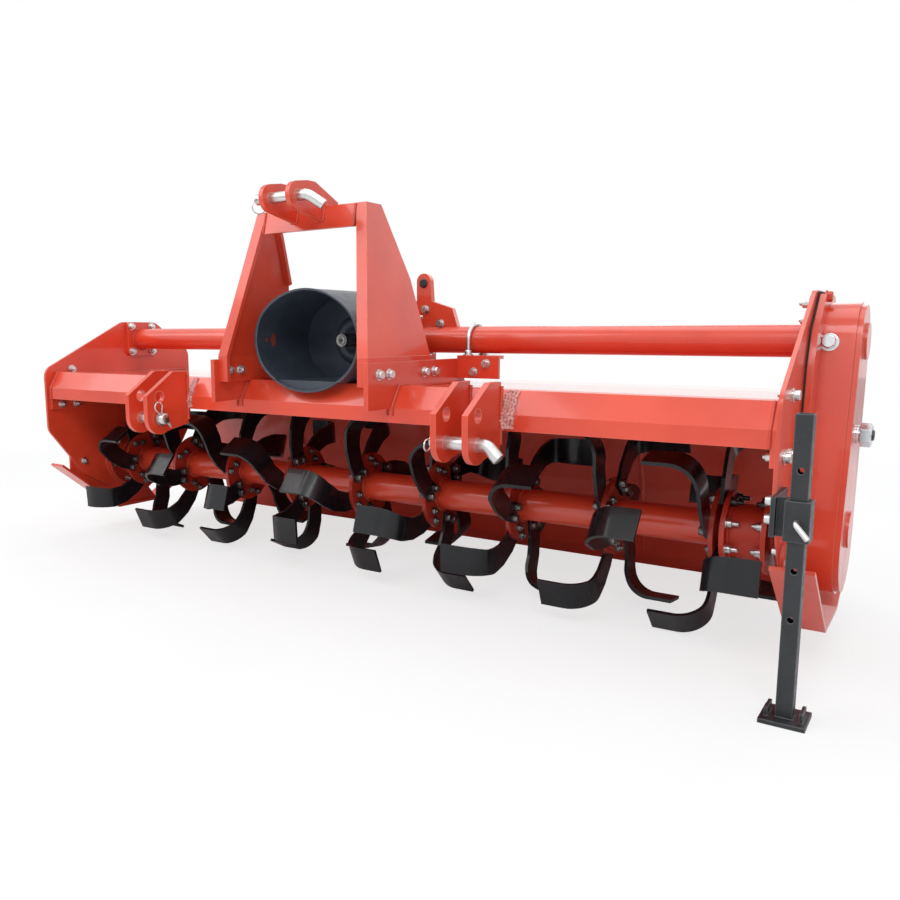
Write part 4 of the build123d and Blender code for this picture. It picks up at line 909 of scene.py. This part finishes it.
# The ring's cross pin, and the washer before the left clip
turned(clips, (ringX, topY - 17.0, topZ), unitY, ((2.6, 0.0), (3.4, 1.0), (3.4, 33.0), (2.6, 34.0)), 12)
turned(clips, (leftHi[0] - 18.0, pinY, pinZ), unitX,
       ((14.1, 0.0), (19.0, 0.0), (19.0, 4.6), (14.1, 4.6)), 24)
clips.mesh("pin_clips", zincSkin, "frame", "zinc")
print("hitch pins dressed")

# Welds of the frame, painted over
frameWeld = {"off": 1.5, "step": 1.8, "earThick": 14.0, "topEarThick": 12.0, "tubeR": 36.5}
frameWelds = Heap()


def weld(corners, radius, step=frameWeld["step"]):
    # A rippled bead along straight runs between corners
    sweep(frameWelds, dense(corners, step), radius, 8, ripple=0.13, ripplePitch=6.4)


def weldAcross(x, line, radius):
    # A bead in a plane across X: its corners are y and z
    weld([(x, y, z) for y, z in line], radius)


# Lower ears, lug plates with the beam's slope, crossbar and top ears
earSets = (box("lower_ears_left"), box("lower_ears_right"))
for lo, hi in earSets:
    for x, way in ((lo[0], -1), (lo[0] + frameWeld["earThick"], 1), (hi[0] - frameWeld["earThick"], -1),
                   (hi[0], 1)):
        weldAcross(x + way * 2.0, ((beamFront - 2.0, 436.0), (beamFront - 2.0, 500.0),
                                   (beamFront + 1.0, 560.0)), 3.4)
for lo, hi in (lugLeft, lugRight):
    for x, way in ((lo[0], -1), (hi[0], 1)):
        seamX = x + way * frameWeld["off"]
        weldAcross(seamX, ((beamFront - 1.5, 482.0), (beamFront - 1.5, 500.5),
                           (beamFront + 29.0, beamTop + 1.0), (beamFront + 69.0, beamTop + 1.0)), 3.6)
        weldAcross(seamX, ((beamFront + 72.0, 545.5), (30.0, 545.5)), 3.6)
barLo, barHi = box("mast_crossbar")
for x in (barLo[0], barHi[0]):
    weldAcross(x, ((-289.0, 968.0), (-302.0, 917.0)), 3.0)
earLo, earHi = box("top_link_ears")
for x, way in ((earLo[0], -1), (earLo[0] + frameWeld["topEarThick"], 1),
               (earHi[0] - frameWeld["topEarThick"], -1), (earHi[0], 1)):
    seamX = x + way * frameWeld["off"]
    weldAcross(seamX, ((-289.5, 967.0), (-298.5, 934.0)), 3.0)
    weldAcross(seamX, ((-286.0, 971.5), (-238.0, 971.5)), 3.0)
# Toolbar tubes in their flanges, the deck's seams, the beam's end plates and the bearings
for x, way in ((plateLeft + tubeFlange["thick"], 1), (plateRight - tubeFlange["thick"], -1),
               (boxLo[0] - roundFlange["thick"], -1), (boxHi[0] + roundFlange["thick"], 1)):
    weldRing(frameWelds, x + way, tubeY, tubeZ, frameWeld["tubeR"], pitch=6.4)
for x, way in plateSides:
    weldAcross(x + way * frameWeld["off"], ((beamFront + 73.0, 545.0), (270.0, 540.0)), 3.4)
weld(((plateLeft + 2.0, beamFront + 71.0, 545.0), (plateRight - 2.0, beamFront + 71.0, 545.0)),
     3.0, 2.4)
for x, way in ((plateLeft + 10.0, 1), (plateRight - 10.0, -1)):
    weldAcross(x + way * 1.2, ((beamFront - 1.0, 467.0), (beamFront - 1.0, 500.0),
                               (beamFront + 29.0, 549.0)), 3.2)
for x, way in ((bearLeft[0][0], 1), (bearRight[1][0], -1)):
    weldRing(frameWelds, x + way, 0.0, rotorZ, bearing["weldR"], bearing["bead"], ripple=0.0, count=96)

# Scorched beads side by side on the beam: each wanders as a sum of two sine waves
scorched = Heap()
for startX, beads in ((earSets[1][1][0], 4), (earSets[0][1][0], 2)):
    for index in range(beads):
        run = dense(((0.0, beamFront - 1.0, 470.0), (0.0, beamFront - 1.0, 500.0),
                     (0.0, beamFront + 28.0, 549.0)), frameWeld["step"])
        t = np.arange(len(run))
        wander = 1.6 * np.sin(t * 0.55 + index) + 0.9 * np.sin(t * 1.3 + 2 * index)
        run[:, 0] = startX + 4.0 + index * 7.5 + wander
        sweep(scorched, run, 4.6 - 0.3 * index, 8, ripple=0.22, ripplePitch=8.3 + index)
scorched.mesh("scorched_welds", scorchPaint, "frame", "red_paint")
frameWelds.mesh("frame_welds", weldPaint, "frame", "red_paint")
print("welds laid")

# Guard: a rolled rim at its mouth, a dished back round the shaft, and two bolts beside it
guardLo, guardHi = box("pto_guard")
guard = {"halfX": 163.0, "halfZ": 124.0, "end": 103.0, "rim": 3.0, "wall": 4.0,
         "bolt": (74.0, -9.0, 40.0), "flats": 17.0}


def ovalLine(halfX, halfZ, end, count):
    # Four arcs that meet without a corner: two of radius end at the sides, two flatter ones between
    shift, over = halfX - end, halfZ - end
    long = end + (shift ** 2 + over ** 2) / (2 * over)
    drop = long - halfZ
    turnAngle = math.atan2(shift, drop)
    t = np.linspace(-turnAngle, turnAngle, count)
    u = np.linspace(turnAngle, math.pi - turnAngle, count)
    topArc = np.stack((long * np.sin(t), long * np.cos(t) - drop), 1)
    rightArc = np.stack((shift + end * np.sin(u), end * np.cos(u)), 1)
    half = np.concatenate((topArc[:-1], rightArc[:-1]))
    return np.concatenate((half, -half))


# The rim stands on the beam: the part of the oval below the beam's top is left out
rimLine = ovalLine(guard["halfX"], guard["halfZ"], guard["end"], 40)
keep = rimLine[:, 1] + tubeZ > beamTop + 5.0
firstCut = int(np.argmax(~keep))
rimLine = np.roll(rimLine, -firstCut, 0)[np.roll(keep, -firstCut)]
rimY = np.full(len(rimLine), guardLo[1] + guard["rim"])
rim = sweep(Heap(), np.column_stack((hitchShift + rimLine[:, 0], rimY, tubeZ + rimLine[:, 1])),
            guard["rim"] - 0.2, 10)
rim.mesh("guard_rim", rimSkin, "frame", "black_plastic")
backY = guardHi[1] - guard["wall"]
dish = turned(Heap(), (hitchShift, backY, tubeZ), -unitY,
              ((63.0, 0.2), (62.0, 3.0), (58.0, 8.0), (52.0, 12.0), (44.0, 13.0), (35.0, 10.0),
               (28.0, 5.0), (23.5, 1.0)), 64)
dish.mesh("guard_back_dish", guardSkin, "frame", "black_plastic", 60.0)
boltX, boltY, boltZ = guard["bolt"]
guardBolts = Heap()
for dz in (-1, 1):
    hexBolt(guardBolts, (hitchShift + boltX, backY + boltY, tubeZ + dz * boltZ), -unitY, guard["flats"])
guardBolts.mesh("guard_bolts", zincSkin, "frame", "zinc")

# The input shaft's turned end, with a dark disc of greased steel over its centre drill: painted
# shade of the hole
shaftFace = (hitchShift, box("pto_shaft")[0][1] + 0.1, tubeZ)
shaftEnd = turned(Heap(), shaftFace, -unitY,
                  ((16.9, -3.0), (17.4, 0.0), (16.4, 1.0), (12.0, 1.0), (11.2, 0.4), (9.4, 0.4),
                   (8.6, 1.0), (5.0, 1.0), (3.6, -1.6)), 32)
shaftEnd.mesh("shaft_end_disc", steelSkin, "pto", "bright_steel")
shaftHoleShade = turned(Heap(), shaftFace, -unitY, ((5.0, 0.2), (5.0, 1.15), (1.0, 1.25)), 20)
shaftHoleShade.mesh("shaft_centre_hole_shade", greaseSkin, "pto", "black_steel")
print("guard dressed")

# Gearbox: a breather on the lid, and oil plugs low on its left and its back
breather = {"x": -22.0, "y": 40.0, "line": ((12.0, 0.0), (12.0, 7.0), (9.0, 8.0), (9.0, 14.0),
                                            (12.5, 15.0), (13.5, 22.0), (11.0, 27.0), (4.0, 29.0))}
oilPlug = {"flats": 22.0, "left": (-70.0, -60.0), "back": -78.0}
gearFittings = turned(Heap(), (hitchShift + breather["x"], tubeY + breather["y"], boxHi[2]), unitZ,
                      breather["line"], 24)
hexBolt(gearFittings, (boxLo[0], tubeY + oilPlug["left"][0], tubeZ + oilPlug["left"][1]), -unitX,
        oilPlug["flats"])
hexBolt(gearFittings, (hitchShift, boxHi[1], tubeZ + oilPlug["back"]), unitY, oilPlug["flats"])
gearFittings.mesh("gearbox_fittings", zincSkin, "frame", "zinc")

# Tailgate: ribs down its back, and a pair of washers at each knuckle of the hinge rod
gate = {"ribs": (-620.0, 0.0, 620.0), "rib": 7.0, "ribLift": 1.5, "hinge": (294.0, 520.0),
        "line": ((311.0, 505.0), (352.0, 428.0), (412.0, 244.0), (450.0, 52.0)),
        "knuckles": (-880.0, -300.0, 300.0, 880.0), "washers": 29.0}
gateLine = np.array(gate["line"]) + (gate["ribLift"], 0.0)
middle = (plateLeft + plateRight) / 2
gateRibs = Heap()
for x in gate["ribs"]:
    points = dense(np.column_stack((np.full(len(gateLine), middle + x), gateLine)), 12.0)
    sweep(gateRibs, points, gate["rib"], 12)
gateRibs.mesh("tailgate_ribs", redPaint, "tailgate", "red_paint")
hingeWashers = Heap()
for spot in gate["knuckles"]:
    for side in (-1, 1):
        turned(hingeWashers, (middle + spot + side * gate["washers"] - 1.0, *gate["hinge"]), unitX,
               ((8.1, 0.0), (15.0, 0.0), (15.0, 2.0), (8.1, 2.0)), 24)
hingeWashers.mesh("hinge_washers", zincSkin, "frame", "zinc")
print("tailgate dressed")
